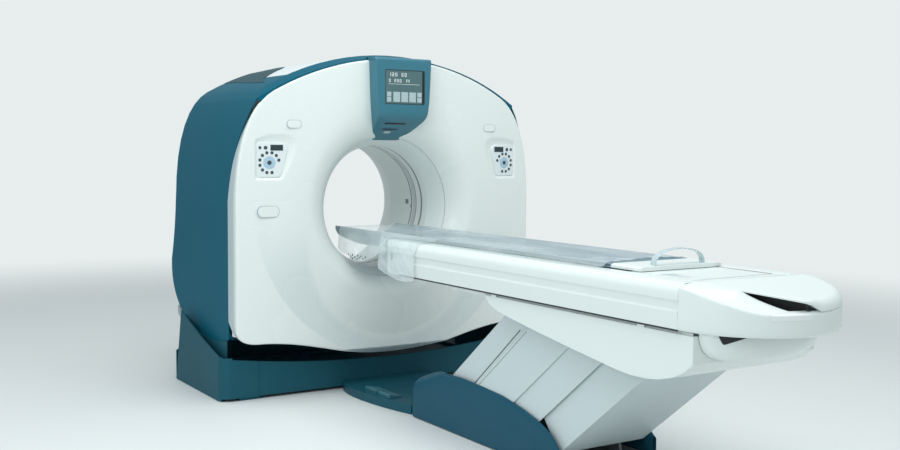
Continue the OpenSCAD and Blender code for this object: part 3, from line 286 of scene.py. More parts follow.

# %% [markdown]
# The whites lean a little to green and blue, since the light does. The teal covers have hardly any sheen,
# so that they stay deep where the white floor would shine in them.

# %% Moulded plastics
# The white cover's second colour is painted shade on the side strip and on the lower part of the dish's
# slope.
moulded("white_cover", (0.80, 0.85, 0.82), 0.27, dust=0.05, second=(0.45, 0.55, 0.58), share=painted_shade_share)
moulded("roof_white", (0.76, 0.82, 0.82), 0.34)
moulded("table_white", (0.78, 0.84, 0.82), 0.26, dust=0.06)
moulded("panel_white", (0.60, 0.68, 0.69), 0.36, dust=0.10)
moulded("edge_grey", (0.42, 0.50, 0.53), 0.42)
moulded("keypad_grey", (0.76, 0.82, 0.82), 0.36)
moulded("liner_white", (0.79, 0.84, 0.82), 0.28, second=(0.10, 0.11, 0.12), share=bore_rings)
moulded("window_grey", (0.58, 0.62, 0.62), 0.22, second=(0.02, 0.02, 0.025), share=window_edge)
moulded("teal_cover", (0.004, 0.110, 0.168), 0.42, cloud=0.02, dust=0.02, sheen=0.05)
moulded("console_teal", (0.045, 0.185, 0.245), 0.26, cloud=0.03)
moulded("teal_dark", (0.014, 0.094, 0.130), 0.50, cloud=0.02, dust=0.02, sheen=0.10)
moulded("teal_floor", (0.008, 0.088, 0.125), 0.36, cloud=0.03, dust=0.05, sheen=0.15)
moulded("skirt_teal", (0.012, 0.088, 0.138), 0.40, cloud=0.03, dust=0.03, sheen=0.12)
# The pedals' lighter teal is partly painted highlight, for the bright edges that they show.
moulded("pedal_teal_painted_highlight", (0.050, 0.175, 0.215), 0.40, cloud=0.05, sheen=0.5)
moulded("grip_white", (0.84, 0.88, 0.87), 0.24)
moulded("seam_dark", (0.025, 0.035, 0.038), 0.5)
moulded("seam_grey", (0.25, 0.31, 0.32), 0.5)
moulded("strip_red", (0.22, 0.10, 0.09), 0.45)
moulded("rib_grey", (0.45, 0.52, 0.53), 0.38)
moulded("vent_dark", (0.016, 0.072, 0.092), 0.45, sheen=0.1)
# Black trim, which also serves as painted shade in the slots, the hand opening and the film's holes.
moulded("black_trim", (0.012, 0.014, 0.016), 0.35)
moulded("key_dark", (0.05, 0.075, 0.095), 0.40)
moulded("dial_blue", (0.42, 0.58, 0.68), 0.36)
moulded("display_dark", (0.03, 0.05, 0.055), 0.12)
moulded("screen_glow", (0.085, 0.16, 0.17), 0.10)
moulded("screen_white", (0.85, 0.90, 0.88), 0.5)
moulded("screen_key", (0.42, 0.52, 0.54), 0.35)
print("plastics:", len(finishes))

# %% [markdown]
# ## Metals and the rest
# The frames are painted steel, the shafts are ground, the drum is a machined casting. Turned and ground
# metal has fine lines along the tool's path, so its roughness varies in a stretched noise.

# %% Metals
def metal(name, colour, rough, stretch=(1, 1, 1), metallic=1.0):
    """Base colour with stretched tool lines in its roughness and a trace of them in its normal."""
    finish = Finish(name)
    tool = finish.noise(60.0, 3.0, 0.6, stretch)
    shade = tuple(0.82 * c for c in colour)
    finish.set(Base_Color=finish.mix(tool, colour, shade), Roughness=rough + 0.10 * (tool - 0.5),
               Metallic=metallic)
    finish.bump(tool, 0.00004, 0.3)


metal("painted_steel", (0.22, 0.24, 0.26), 0.5, metallic=0.3)
metal("grey_box", (0.36, 0.38, 0.40), 0.5, metallic=0.2)
metal("ground_steel", (0.62, 0.63, 0.65), 0.28, (1, 14, 14))
metal("cast_alloy", (0.64, 0.65, 0.67), 0.36, (1, 9, 1))
metal("ring_brass", (0.62, 0.45, 0.20), 0.3, (1, 12, 1))
print("finishes so far:", len(finishes))

# %% [markdown]
# The belt, the cradle's lacquered skin, the hoop and the loose film each have a recipe of their own. The
# clear ones let some light through. The film is so thin that it needs no refraction, only a share of
# transparency.

# %% Rubber, lacquer and clear plastic
def belt_rubber():
    """Dull black with ribs across the belt, one every 8 mm."""
    finish = Finish("belt_rubber")
    x, _, z = finish.axes()
    ribs = (x + z).remainder(0.008).smooth(0.003, 0.005)
    finish.set(Base_Color=finish.mix(ribs, (0.02, 0.02, 0.02), (0.05, 0.05, 0.05)), Roughness=0.7)
    finish.bump(ribs, 0.0008)


def cradle_skin():
    """Blue-grey lacquer over a fabric laminate: a faint diagonal weave, and scuffs along the cradle."""
    finish = Finish("cradle_skin")
    x, y, _ = finish.axes()
    weave = (x + y).remainder(0.006).smooth(0.001, 0.005) * (x - y).remainder(0.006).smooth(0.001, 0.005)
    scuffs = finish.noise(26.0, 5.0, 0.6, (9, 0.6, 1)).smooth(0.58, 0.72)
    tint = finish.mix(weave, (0.22, 0.34, 0.40), (0.25, 0.37, 0.43))
    finish.set(Base_Color=finish.mix(0.5 * scuffs, tint, (0.42, 0.52, 0.56)), Roughness=0.26 + 0.12 * scuffs,
               Coat_Weight=0.4, Coat_Roughness=0.1)
    finish.bump(weave, 0.00003, 0.3)


def clear_plastic():
    """Polished plastic that lets some light through, tinted a little blue."""
    finish = Finish("clear_plastic")
    cloud = finish.noise(30.0, 3.0)
    finish.set(Base_Color=finish.mix(cloud, (0.62, 0.74, 0.78), (0.74, 0.84, 0.87)),
               Roughness=0.10 + 0.05 * cloud, Transmission_Weight=0.35, IOR=1.46)


def clear_film():
    """Thin clear vinyl: nearly all that it shows is gloss, with milky streaks where it was folded."""
    finish = Finish("clear_film")
    streaks = finish.noise(7.0, 2.0, 0.5, (1.0, 0.30, 1.0)).smooth(0.30, 0.80)
    finish.set(Base_Color=finish.mix(streaks, (0.72, 0.82, 0.84), (0.86, 0.92, 0.92)),
               Roughness=0.16 + 0.06 * streaks, Alpha=0.40 + 0.16 * streaks)
    finish.bump(finish.noise(14.0, 2.0), 0.0006, 0.3)


for recipe in (belt_rubber, cradle_skin, clear_plastic, clear_film):
    recipe()
print("finishes:", len(finishes))

# %% [markdown]
# ## Give every solid its finish
# A dictionary says which solids take which finish. Writing it the other way round, one entry per finish,
# keeps it short and shows at a glance which covers are moulded from the same material.

# %% Assign the finishes
pedals = "left_raise_pedal left_lower_pedal right_raise_pedal right_lower_pedal"
leg_panels = "front_leg_cover rear_leg_cover middle_front_panels middle_rear_panels"
base_covers = "base_front_cover base_left_cover base_right_cover base_rear_cover"
table_covers = "left_side_panel right_side_panel front_end_cap belly_cover"
solids_in = {
    "white_cover": "front_cover rear_cover cover_caps",
    "roof_white": "top_cover",
    "table_white": table_covers + " tail_cover tail_chin rear_deck cradle_end",
    "panel_white": leg_panels,
    "keypad_grey": "left_keypad right_keypad end_latch",
    "liner_white": "front_liner rear_liner",
    "window_grey": "scan_window",
    "teal_cover": "left_side_cover right_side_cover top_band table_base_cover",
    "console_teal": "console_housing",
    "teal_dark": "gantry_base_frame " + base_covers,
    "pedal_teal_painted_highlight": pedals,
    "teal_floor": "footswitch_plate",
    "black_trim": "console_screen collimator",
    "painted_steel": "tilt_frame table_base_frame table_frame front_arm rear_arm lift_gearmotor drive_motor "
                     "xray_tube detector_arc",
    "grey_box": "generator",
    "ground_steel": "bearing_ring lower_shafts upper_shafts slide_rails motor_pulley",
    "cast_alloy": "rotor_drum",
    "ring_brass": "slip_ring",
    "belt_rubber": "drive_belt",
    "cradle_skin": "cradle",
    "clear_plastic": "hoop_handle vinyl_sheet",
}
finish_of = {node: name for name, solids in solids_in.items() for node in solids.split()}
for node, name in finish_of.items():
    nodes[node].data.materials.clear()
    nodes[node].data.materials.append(finishes[name].material)
print("solids without a finish:", sorted(set(nodes) - set(finish_of)))

# %% [markdown]
# ## Surfaces from formulas
# A moulded cover is one smooth surface, so it is easiest to write as a formula over a grid of two numbers.
# `grid_faces` joins the grid's points with quads. `new_piece` makes the object, shades it smooth except at
# real edges, and lets it ride on the same body as the solid that it stands for.

# %% Helpers for pieces
def grid_faces(rows, columns, closed=False, flip=False):
    """Quads between neighbouring rows. A closed grid joins its last column to its first."""
    start = np.arange(rows - 1)[:, None] * columns
    here = np.arange(columns if closed else columns - 1)[None, :]
    beside = (here + 1) % columns
    quads = np.stack([start + here, start + beside, start + columns + beside, start + columns + here], -1)
    quads = quads.reshape(-1, 4)
    return quads[:, ::-1] if flip else quads


def body_of(node):
    """The moving body that a solid belongs to."""
    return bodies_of(nodes[node])[0]


def dressed(name, mesh, finish, node, replaced, angle):
    """Shades a mesh smooth up to an angle and lets it ride on a solid's body. It may stand for solids."""
    mesh.materials.append(finishes[finish].material)
    mesh.shade_smooth()
    mesh.set_sharp_from_angle(angle=math.radians(angle))
    piece = add_object(name, mesh)
    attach(piece, body_of(node))
    if replaced:
        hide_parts(*replaced)
    return piece


def new_piece(name, points, faces, finish, node, replaced=(), angle=35):
    """A piece from its points and faces, on the body of a node."""
    mesh = bpy.data.meshes.new(name)
    mesh.from_pydata(np.asarray(points).reshape(-1, 3).tolist(), [], [list(map(int, face)) for face in faces])
    mesh.update()
    return dressed(name, mesh, finish, node, replaced, angle)


def grid_piece(name, grid, finish, node, replaced=(), angle=35, closed=False, flip=False):
    """A piece from rows of points."""
    grid = np.asarray(grid)
    return new_piece(name, grid, grid_faces(*grid.shape[:2], closed, flip), finish, node, replaced, angle)


def joined(parts):
    """Several (points, faces) pairs as one pair."""
    points, faces, count = [], [], 0
    for some, quads in parts:
        some = np.asarray(some, float).reshape(-1, 3)
        points.append(some)
        faces += [[int(k) + count for k in quad] for quad in quads]
        count += len(some)
    return np.concatenate(points), faces


def points_of(*coordinates):
    """Points from their coordinates. A single number counts for every point."""
    return np.stack(np.broadcast_arrays(*coordinates), -1)


def at_height(plan, height):
    """Points (x, y) of a plan, lifted to one height or to a height each."""
    return points_of(*np.transpose(plan), height)


def smooth_step(value, low, high):
    """0 below low, 1 above high and a soft step between them."""
    t = np.clip((value - low) / (high - low), 0, 1)
    return t * t * (3 - 2 * t)


print("the footswitch plate rides on", body_of("footswitch_plate"))

# %% [markdown]
# ## The gantry's outline
# Seen from the front, the face is a little smaller than the gantry. One half of its outline is a cosine
# wave over the base, a soft corner, a straight side, a long curve and a large arc on top. The other half is
# its mirror image.

# %% The outline of the gantry's face
axis_z = 1.030
half_width, top_z, top_radius = 0.945, 1.892, 1.511
foot_reach, foot_low, foot_rise = 0.820, 0.196, 0.118
side_low, side_high, corner_start = 0.400, 1.05, 0.885
arc_end, arc_drop = 0.746, 0.030


def bezier(a, b, c, d, count):
    """Points on a cubic curve from a to d."""
    t = np.linspace(0, 1, count)[:, None]
    a, b, c, d = (np.array(p, float) for p in (a, b, c, d))
    return (1 - t) ** 3 * a + 3 * t * (1 - t) ** 2 * b + 3 * t ** 2 * (1 - t) * c + t ** 3 * d


def half_outline():
    """Right half of the front view, from the foot's middle to the top."""
    x = np.linspace(0, foot_reach, 90)
    foot = points_of(x, foot_low + foot_rise * (1 - np.cos(np.pi * x / foot_reach)) / 2)
    foot_top = foot_low + foot_rise
    corner_end = (half_width, side_low)
    corner = bezier((foot_reach, foot_top), (corner_start, foot_top), (half_width, 0.330), corner_end, 20)
    straight = points_of(half_width, np.linspace(side_low, side_high, 60))
    turn_in = math.acos(arc_end / top_radius)
    r = top_radius - arc_drop
    bend = np.linspace(turn_in, math.pi / 2, 60)
    arc = points_of(r * np.cos(bend), top_z - top_radius + r * np.sin(bend))
    toward = np.array([math.sin(turn_in), -math.cos(turn_in)])
    side = bezier((half_width, side_high), (half_width, top_z - 0.452), arc[0] + 0.13 * toward, arc[0], 90)
    return np.concatenate([foot, corner[1:], straight[1:], side[1:], arc[1:]])


def outline_radius(angle):
    """How far the outline is from the bore's axis in a direction."""
    half = half_outline()
    toward = np.arctan2(half[:, 1] - axis_z, half[:, 0])
    folded = np.arctan2(np.sin(angle), np.abs(np.cos(angle)))
    return np.interp(folded, toward, np.hypot(half[:, 0], half[:, 1] - axis_z))


print("outline at the side, shoulder and top:", np.round(outline_radius(np.radians([0, 42, 90])), 3).tolist())

# %% [markdown]
# ## The depth of the gantry's dished face
# The face is a shallow curved shell. Round the bore's axis we can describe it in polar form: for each
# direction and radius, the depth is a formula. It adds a gently crowned sheet, an exponential funnel that
# falls into the bore, and a round dish that cuts into the foot and leaves a crescent. Each keypad lies in a
# bowl, whose depth grows from the bowl's rim to the keypad's edge.

# %% Outlines of the keypads and their bowls
def rounded_corners(corners, radius, steps=6):
    """Replaces each corner of a convex outline with a small quadratic curve."""
    corners = np.asarray(corners, float)
    made = []
    for before, here, after in zip(np.roll(corners, 1, 0), corners, np.roll(corners, -1, 0)):
        a = here + (before - here) / np.linalg.norm(before - here) * radius
        b = here + (after - here) / np.linalg.norm(after - here) * radius
        for t in np.linspace(0, 1, steps):
            made.append((1 - t) ** 2 * a + 2 * t * (1 - t) * here + t ** 2 * b)
    return np.array(made)


pod_middle = np.array([0.768, 1.302])
pod_corners = np.array([[-0.062, -0.096], [0.066, -0.096], [0.112, 0.060], [0.088, 0.088], [-0.062, 0.088]])
plate_outline = rounded_corners(pod_corners, 0.014, 5)
bowl_outline = rounded_corners([[-0.074, -0.108], [0.078, -0.108], [0.142, 0.010], [0.158, 0.080],
                                [0.146, 0.116], [0.106, 0.134], [0.0, 0.130], [-0.074, 0.104]], 0.012, 5)


def outside(outline, x, z):
    """Distance outside an outline round a keypad's middle. Inside it is negative."""
    local = np.stack([pod_middle[0] - np.abs(x), z - pod_middle[1]], -1)
    best = np.full(x.shape, -np.inf)
    for here, after in zip(outline, np.roll(outline, -1, 0)):
        edge = (after - here) / np.linalg.norm(after - here)
        best = np.maximum(best, (local - here) @ np.array([edge[1], -edge[0]]))
    return best


print("points in the bowl's outline:", len(bowl_outline))

# %% [markdown]
# The formula is short once its parts have names. Each part is a depth of its own, and a soft maximum joins
# the sheet and the funnel without a crease.

# %% The depth formula
face_front, crown = -0.560, 0.045
funnel_depth, funnel_start, funnel_fall = 0.254, 0.352, 0.070
dish_radius, dish_front, dish_tilt = 0.845, -0.538, 0.0230
slope_drop, slope_radius = 0.202, 0.524
bowl_depth, bowl_power = 0.0105, 1.6


def crown_at(x):
    """How far the crowned sheet lies behind its middle."""
    return crown * (x / half_width) ** 2


def slope_end(angle):
    """Radius where the dish's slope ends: on a circle whose middle is below the bore's axis."""
    below = slope_drop * np.sin(angle)
    return -below + np.sqrt(below ** 2 + slope_radius ** 2 - slope_drop ** 2)


def soft_max(a, b, soft=0.0025):
    """The larger of two depths, with a soft change from one to the other."""
    return np.maximum(a, b) + soft * np.log1p(np.exp(-np.abs(a - b) / soft))


def face_depth(radius, angle):
    """Depth of the face: crowned sheet, funnel, tilted dish with its crescent, and the two keypad bowls."""
    x, z = radius * np.cos(angle), axis_z + radius * np.sin(angle)
    crowned = face_front + crown_at(x)
    funnel = face_front + funnel_depth * np.exp(-(radius - funnel_start) / funnel_fall)
    dish = dish_front - (z - axis_z) * dish_tilt
    share = np.clip((dish_radius - radius) / (dish_radius - slope_end(angle)), 0, 1)
    crowned = crowned + share * np.maximum(dish - crowned, 0)
    from_plate = np.maximum(outside(plate_outline, x, z), 0)
    beyond_rim = outside(bowl_outline, x, z)
    to_rim = np.maximum(-beyond_rim, 0)
    bowl = bowl_depth * (1 - (from_plate / (from_plate + to_rim + 1e-6)) ** bowl_power)
    return soft_max(crowned, funnel) + np.where(beyond_rim < 0, bowl, 0)


def face_y(x, z):
    """The face's depth at one place."""
    return float(face_depth(np.array(math.hypot(x, z - axis_z)), np.array(math.atan2(z - axis_z, x))))


print("depth beside the bore:", round(face_y(0.45, axis_z), 3), "at a keypad:", round(face_y(*pod_middle), 3))

# %% [markdown]
# The grid's columns are directions and its rows are radii. A set of rows ends exactly on the dish's edge,
# so that this edge stays sharp. The last rows turn round the rim and run back as the strip beside the side
# covers. Near the floor the surface stays inside a cylinder about the tilt axis, so that the foot can swing
# over the base. An attribute marks where grey painted shade goes, on the strip and more faintly on the lower
# part of the dish's slope, and the material reads it.

# %% Build the face
seam_radius, rim, return_depth = 0.4005, 0.011, 0.006
dish_margin = 0.030
back_z = [0.30, 0.335, 0.43, 1.08, 1.302, 1.502, 1.702]
back_y = [-0.504, -0.502, -0.395, -0.395, -0.440, -0.500, -0.520]
foot_swing, side_swing, side_start = 0.960, 0.925, 0.73


def gantry_face(directions=720, rows_in=66, rows_out=22):
    """Polar grid of `face_depth`, with a rounded rim, a side return and a floor that follows a cylinder."""
    angle = np.linspace(-math.pi, math.pi, directions, endpoint=False)[None, :]
    edge = outline_radius(angle)
    inner_end = np.minimum(dish_radius, edge - dish_margin)
    share_in = (np.linspace(0, 1, rows_in) ** 1.15)[:, None]
    share_out = np.linspace(0, 1, rows_out)[1:, None]
    radius = np.concatenate([seam_radius + (inner_end - seam_radius) * share_in,
                             inner_end + (edge - rim - inner_end) * share_out])
    y = face_depth(radius, angle)
    around = np.linspace(0, math.pi / 2, 7)[1:, None]
    radius = np.concatenate([radius, edge - rim + rim * np.sin(around)])
    y = np.concatenate([y, y[-1:] + rim * (1 - np.cos(around))])
    rim_z = axis_z + edge * np.sin(angle)
    back = np.maximum(np.interp(rim_z, back_z, back_y), y[-1:] + 0.001)
    radius = np.concatenate([radius, edge, edge, edge - return_depth])
    y = np.concatenate([y, y[-1:] + 0.4 * (back - y[-1:]), back, back])
    x, z = radius * np.cos(angle), axis_z + radius * np.sin(angle)
    swing = np.where(np.abs(x) < side_start, foot_swing, side_swing)
    too_far = (z < axis_z) & (y ** 2 + (z - axis_z) ** 2 > swing ** 2)
    y = np.where(too_far, -np.sqrt(np.maximum(swing ** 2 - (z - axis_z) ** 2, 0)), y)
    return np.stack([x, y, z], -1), painted_shade_on(radius, angle, rim_z, z)


def painted_shade_on(radius, angle, rim_z, z):
    """Painted shade: 1 on the strip beside the side covers, and up to 0.3 on the lower part of the dish's
    slope.
    """
    strip = np.zeros(radius.shape)
    strip[-3:] = 1
    strip *= (rim_z > 0.32) & (rim_z < 1.70)
    ends = smooth_step(slope_end(angle) + 0.05 - radius, 0.0, 0.06)
    slope = smooth_step(dish_radius - radius, 0.0, 0.004) * (1 - ends)
    return strip + 0.30 * slope * (1 - smooth_step(z, 0.55, 1.02))


face_points, face_painted_shade = gantry_face()
face = grid_piece("dished_face", face_points, "white_cover", "front_cover", ["front_cover"], closed=True)
# The strip attribute carries where the white cover's grey painted shade goes.
painted_shade_marks = face.data.attributes.new("strip", "FLOAT", "POINT")
painted_shade_marks.data.foreach_set("value", face_painted_shade.ravel())
print("face points:", face_points.shape, "foremost at", round(float(face_points[..., 1].min()), 3))

# %% [markdown]
# ## Covers with soft edges
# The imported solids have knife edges, which no moulding has. Each cover's copy gets its triangles merged
# back into faces and a small rounding where two faces meet, wide on the thick covers and narrow on thin
# ones.

# %% Round the covers' edges
def rounded_copy(node, radius, angle=30):
    """A copy of a solid with its triangles merged into faces, its edges rounded and its curves smooth."""
    mesh = bpy.data.meshes.new(node + "_moulded")
    shape = bmesh.new()
    shape.from_mesh(nodes[node].data)
    bmesh.ops.remove_doubles(shape, verts=shape.verts, dist=2e-5)
    bmesh.ops.dissolve_limit(shape, angle_limit=math.radians(0.7), verts=shape.verts, edges=shape.edges)
    shape.to_mesh(mesh)
    shape.free()
    piece = dressed(node + "_moulded", mesh, finish_of[node], node, [node], angle)
    round_edges = piece.modifiers.new("round_edges", "BEVEL")
    round_edges.width = radius
    round_edges.segments = 3 if radius > 0.005 else 2
    round_edges.limit_method = "ANGLE"
    round_edges.angle_limit = math.radians(angle)
    round_edges.use_clamp_overlap = True
    even_shading = piece.modifiers.new("even_shading", "WEIGHTED_NORMAL")
    even_shading.keep_sharp = True


rounding = {
    0.0022: "left_side_cover right_side_cover top_cover rear_cover top_band",
    0.0040: base_covers,
    0.0060: table_covers,
    0.0018: leg_panels + " rear_deck cradle_end end_latch",
    0.0120: "footswitch_plate",
    0.0030: pedals + " cradle",
    0.0010: "front_liner rear_liner scan_window",
}
for radius, solids in rounding.items():
    for node in solids.split():
        rounded_copy(node, radius)
print("rounded covers:", len(" ".join(rounding.values()).split()))

# %% [markdown]
# ## Plates and keys
# Small parts of the panels are drawn in the front view, as outlines of (x, z) points, and get their
# thickness from front to back. A key is a low dome, drawn as rings of points that close in a pole. A slab
# is a flat plate with a chamfered front edge.

# %% Domes and slabs
def dome(middle, radius, height, front, sides=28):
    """A low round key: a short wall, a rounded shoulder and a closed top, facing the table."""
    turn = np.linspace(0, 2 * math.pi, sides, endpoint=False)
    rings = [(1.0, 0.0), (1.0, 0.55), (0.93, 0.85), (0.80, 0.97), (0.45, 1.0)]
    points = [[middle[0] + radius * k * math.cos(t), front - height * h, middle[1] + radius * k * math.sin(t)]
              for k, h in rings for t in turn]
    faces = grid_faces(len(rings), sides, closed=True).tolist()
    points.append([middle[0], front - height, middle[1]])
    last = (len(rings) - 1) * sides
    faces += [[last + k, last + (k + 1) % sides, len(points) - 1] for k in range(sides)]
    return np.array(points), [face[::-1] for face in faces]


def slab(corners, front, thick, soft=0.0015):
    """A flat plate with a chamfered front edge over a convex outline, which may run either way round."""
    corners = np.asarray(corners, float)
    middle = corners.mean(0)
    shrunk = middle + (corners - middle) * (1 - soft / np.linalg.norm(corners - middle, axis=1))[:, None]
    count = len(corners)
    levels = [(corners, front + thick), (corners, front + soft), (shrunk, front)]
    points = [[x, y, z] for outline, y in levels for x, z in outline]
    faces = grid_faces(3, count, closed=True).tolist()
    faces.append([2 * count + k for k in range(count)])
    x, z = corners.T
    anticlockwise = np.sum(x * np.roll(z, -1) - np.roll(x, -1) * z) > 0
    return np.array(points), [face[::-1] for face in faces] if anticlockwise else faces


def rectangle(x0, x1, z0, z1, radius=0.002):
    """A rectangle's outline with rounded corners."""
    return rounded_corners([[x0, z0], [x1, z0], [x1, z1], [x0, z1]], radius, 4)


print("points in a key:", len(dome((0, 0), 1, 1, 0)[0]))

# %% [markdown]
# ## Keypads
# Each keypad is a rounded plate that lies flush in its bowl. It carries a ring of small keys with a gap at
# one side, a dial in the middle, a narrow display and two round keys. All its parts follow the crowned
# sheet, and the left keypad is the right one's mirror image.

# %% Build the keypads
pod_front = face_front + crown_at(pod_middle[0]) + 0.0045
ring_middle = pod_middle + [-0.006, -0.018]
ring_radius, key_radius, key_height = 0.054, 0.0085, 0.0022
ring_turns = np.radians(180 - (15 + 30 * np.arange(10)))


def mirrored_part(part, side):
    """Lays a part of the right keypad on the crowned sheet, and mirrors it for the left keypad."""
    points, faces = part
    points = np.array(points, float)
    points[:, 1] += crown_at(points[:, 0]) - crown_at(pod_middle[0])
    if side > 0:
        return points, faces
    return points * [-1, 1, 1], [list(face)[::-1] for face in faces]


ring_keys = [dome(ring_middle + ring_radius * np.array([math.cos(t), math.sin(t)]), key_radius, key_height,
                  pod_front) for t in ring_turns]
round_keys = [dome((x, 1.363), radius, key_height, pod_front)
              for x, radius in ((0.783, 0.010), (0.814, 0.008))]
plate_corners = rounded_corners(pod_corners * [-1, 1] + pod_middle, 0.015)[::-1]
keypad_parts = [
    ("key_plate", slab(plate_corners, pod_front, 0.008, 0.003), "keypad_grey"),
    ("ring_keys", joined(ring_keys + round_keys), "key_dark"),
    ("dial", dome(ring_middle, 0.034, 0.0010, pod_front), "dial_blue"),
    ("hub", dome(ring_middle, 0.012, 0.0030, pod_front), "key_dark"),
    ("display", slab(rectangle(0.686, 0.756, 1.348, 1.379), pod_front - 0.001, 0.003, 0.001), "display_dark"),
]
for side, word in ((-1, "left"), (1, "right")):
    for part, shape, finish in keypad_parts:
        stands_for = [word + "_keypad"] if part == "key_plate" else []
        new_piece(f"{word}_{part}", *mirrored_part(shape, side), finish, "front_cover", stands_for)
print("keypads ready, front at", round(pod_front, 4))

# %% [markdown]
# ## The console's screen
# The console hangs over the bore. Its screen shows plain numbers, and below them stands a row of pale keys.
# The numbers are drawn with seven bars each, as on a display. The two outer keys are split into an upper
# and a lower half.

# %% Screen, digits and keys
console_front = -0.632
screen_front = console_front - 0.0015
mark_front = screen_front - 0.0006
bars = {"0": "abcdef", "1": "bc", "2": "abged", "4": "fgbc", "5": "afgcd", "6": "afgecd"}


def digit(letter, x, z, wide, tall, thick):
    """One seven-bar digit with its lower left corner at (x, z)."""
    half = tall / 2
    places = {"a": (0, tall - thick, wide, thick), "g": (0, half - thick / 2, wide, thick),
              "d": (0, 0, wide, thick), "f": (0, half, thick, half), "b": (wide - thick, half, thick, half),
              "e": (0, 0, thick, half), "c": (wide - thick, 0, thick, half)}
    return [slab(rectangle(x + a, x + a + w, z + b, z + b + h, 0.0002), mark_front, 0.0006, 0.0002)
            for a, b, w, h in (places[bar] for bar in bars[letter])]


glass = slab(rectangle(-0.117, 0.117, 1.613, 1.795, 0.006), screen_front, 0.006, 0.0015)
new_piece("screen_glass", *glass, "screen_glow", "console_housing", ["console_screen"])
right_edge = slab(rectangle(0.119, 0.131, 1.618, 1.795, 0.003), screen_front + 0.0004, 0.004, 0.001)
new_piece("screen_edge", *right_edge, "black_trim", "console_housing")

marks = []
for row_z, text, size in ((1.762, "120 60", 0.021), (1.730, "0 250 14", 0.018)):
    for place, letter in enumerate(text):
        if letter in bars:
            marks += digit(letter, -0.098 + place * size * 0.95, row_z, size * 0.62, size, size * 0.17)
marks.append(slab(rectangle(-0.100, 0.100, 1.7195, 1.7212, 0.0005), mark_front, 0.0006, 0.0002))
new_piece("screen_numbers", *joined(marks), "screen_white", "console_housing")

whole, halves = [(1.622, 1.677)], [(1.622, 1.648), (1.651, 1.677)]
key_columns = [(-0.109, -0.083, halves), (-0.070, -0.027, whole), (-0.019, 0.024, whole),
               (0.032, 0.075, whole), (0.084, 0.113, halves)]
pads = [slab(rectangle(x0, x1, z0, z1, 0.003), screen_front - 0.0012, 0.0015, 0.0008)
        for x0, x1, levels in key_columns for z0, z1 in levels]
new_piece("screen_keys", *joined(pads), "screen_key", "console_housing")
print("console:", len(marks), "bars and", len(pads), "keys")

# %% [markdown]
# ## The loose clear film
# A clear film lies over the cradle and keeps it clean. It is wider than the cradle, so its near edge hangs
# free inside the gantry and lies on the table's shoulder further back. Each cross-section is a path that
# starts at the far edge, crosses the cradle and then follows one of two rules, hanging or lying. A share
# that depends on the place along the table blends the two. Wrinkles are sums of sines with odd lengths.

# %% Paths and wrinkles of the film
cradle_edge, cradle_top, shoulder_top = 0.2205, 0.9150, 0.8985
hanging = [(-cradle_edge, cradle_top), (-cradle_edge - 0.002, cradle_top - 0.004), (-0.227, 0.895),
           (-0.231, 0.60)]
lying = [(-cradle_edge, cradle_top), (-0.226, 0.906), (-0.236, 0.8990), (-0.292, shoulder_top),
         (-0.310, 0.8960), (-0.327, 0.884), (-0.338, 0.868), (-0.3445, 0.845), (-0.3455, 0.60)]


def wrinkle(along, across, seed):
    """Sum of four sines with unrelated lengths, from about -1 to 1."""
    rng = np.random.default_rng(seed)
    total = 0
    for length in (0.43, 0.26, 0.15, 0.085):
        lean, phase = rng.uniform(-1.4, 1.4), rng.uniform(0, 6.28)
        total = total + np.sin(6.283 * (along + lean * across) / length + phase) * length
    return total / 0.66


def path_at(knots, s):
    """Point at arc length s along a polyline of (x, z) knots."""
    knots = np.asarray(knots, float)
    reach = np.concatenate([[0], np.cumsum(np.linalg.norm(np.diff(knots, axis=0), axis=1))])
    return np.stack([np.interp(s, reach, knots[:, 0]), np.interp(s, reach, knots[:, 1])], -1)


def blended(s, share):
    """The hanging path where share is 0, the lying path where it is 1."""
    share = share[..., None]
    return path_at(hanging, s) * (1 - share) + path_at(lying, s) * share


print("the lying path starts at", lying[0], "and ends at", lying[-1])

# %% [markdown]
# The film's grid has one row for each place along the table. Its columns fall in three groups: the far
# edge, the cradle's top, and the near side, whose length changes along the table.

# %% Film over the cradle
film_front, film_rear = -0.287, -2.615
far_columns, top_columns, near_columns = 8, 36, 40
first_hanging = far_columns + top_columns - 1
flap_y = [0.287, 0.346, 0.42, 0.56, 0.66, 0.785, 0.90, 1.05, 1.6, 2.3, 2.62]
flap_length = [0.130, 0.150, 0.160, 0.182, 0.165, 0.112, 0.084, 0.078, 0.076, 0.080, 0.060]


def near_length(y):
    """How much film passes the cradle's near edge: a hanging flap in front, a narrow margin behind."""
    return np.interp(-y, flap_y, flap_length) + 0.004 * np.sin(y * 23.0) + 0.003 * np.sin(y * 51.0 + 1.0)


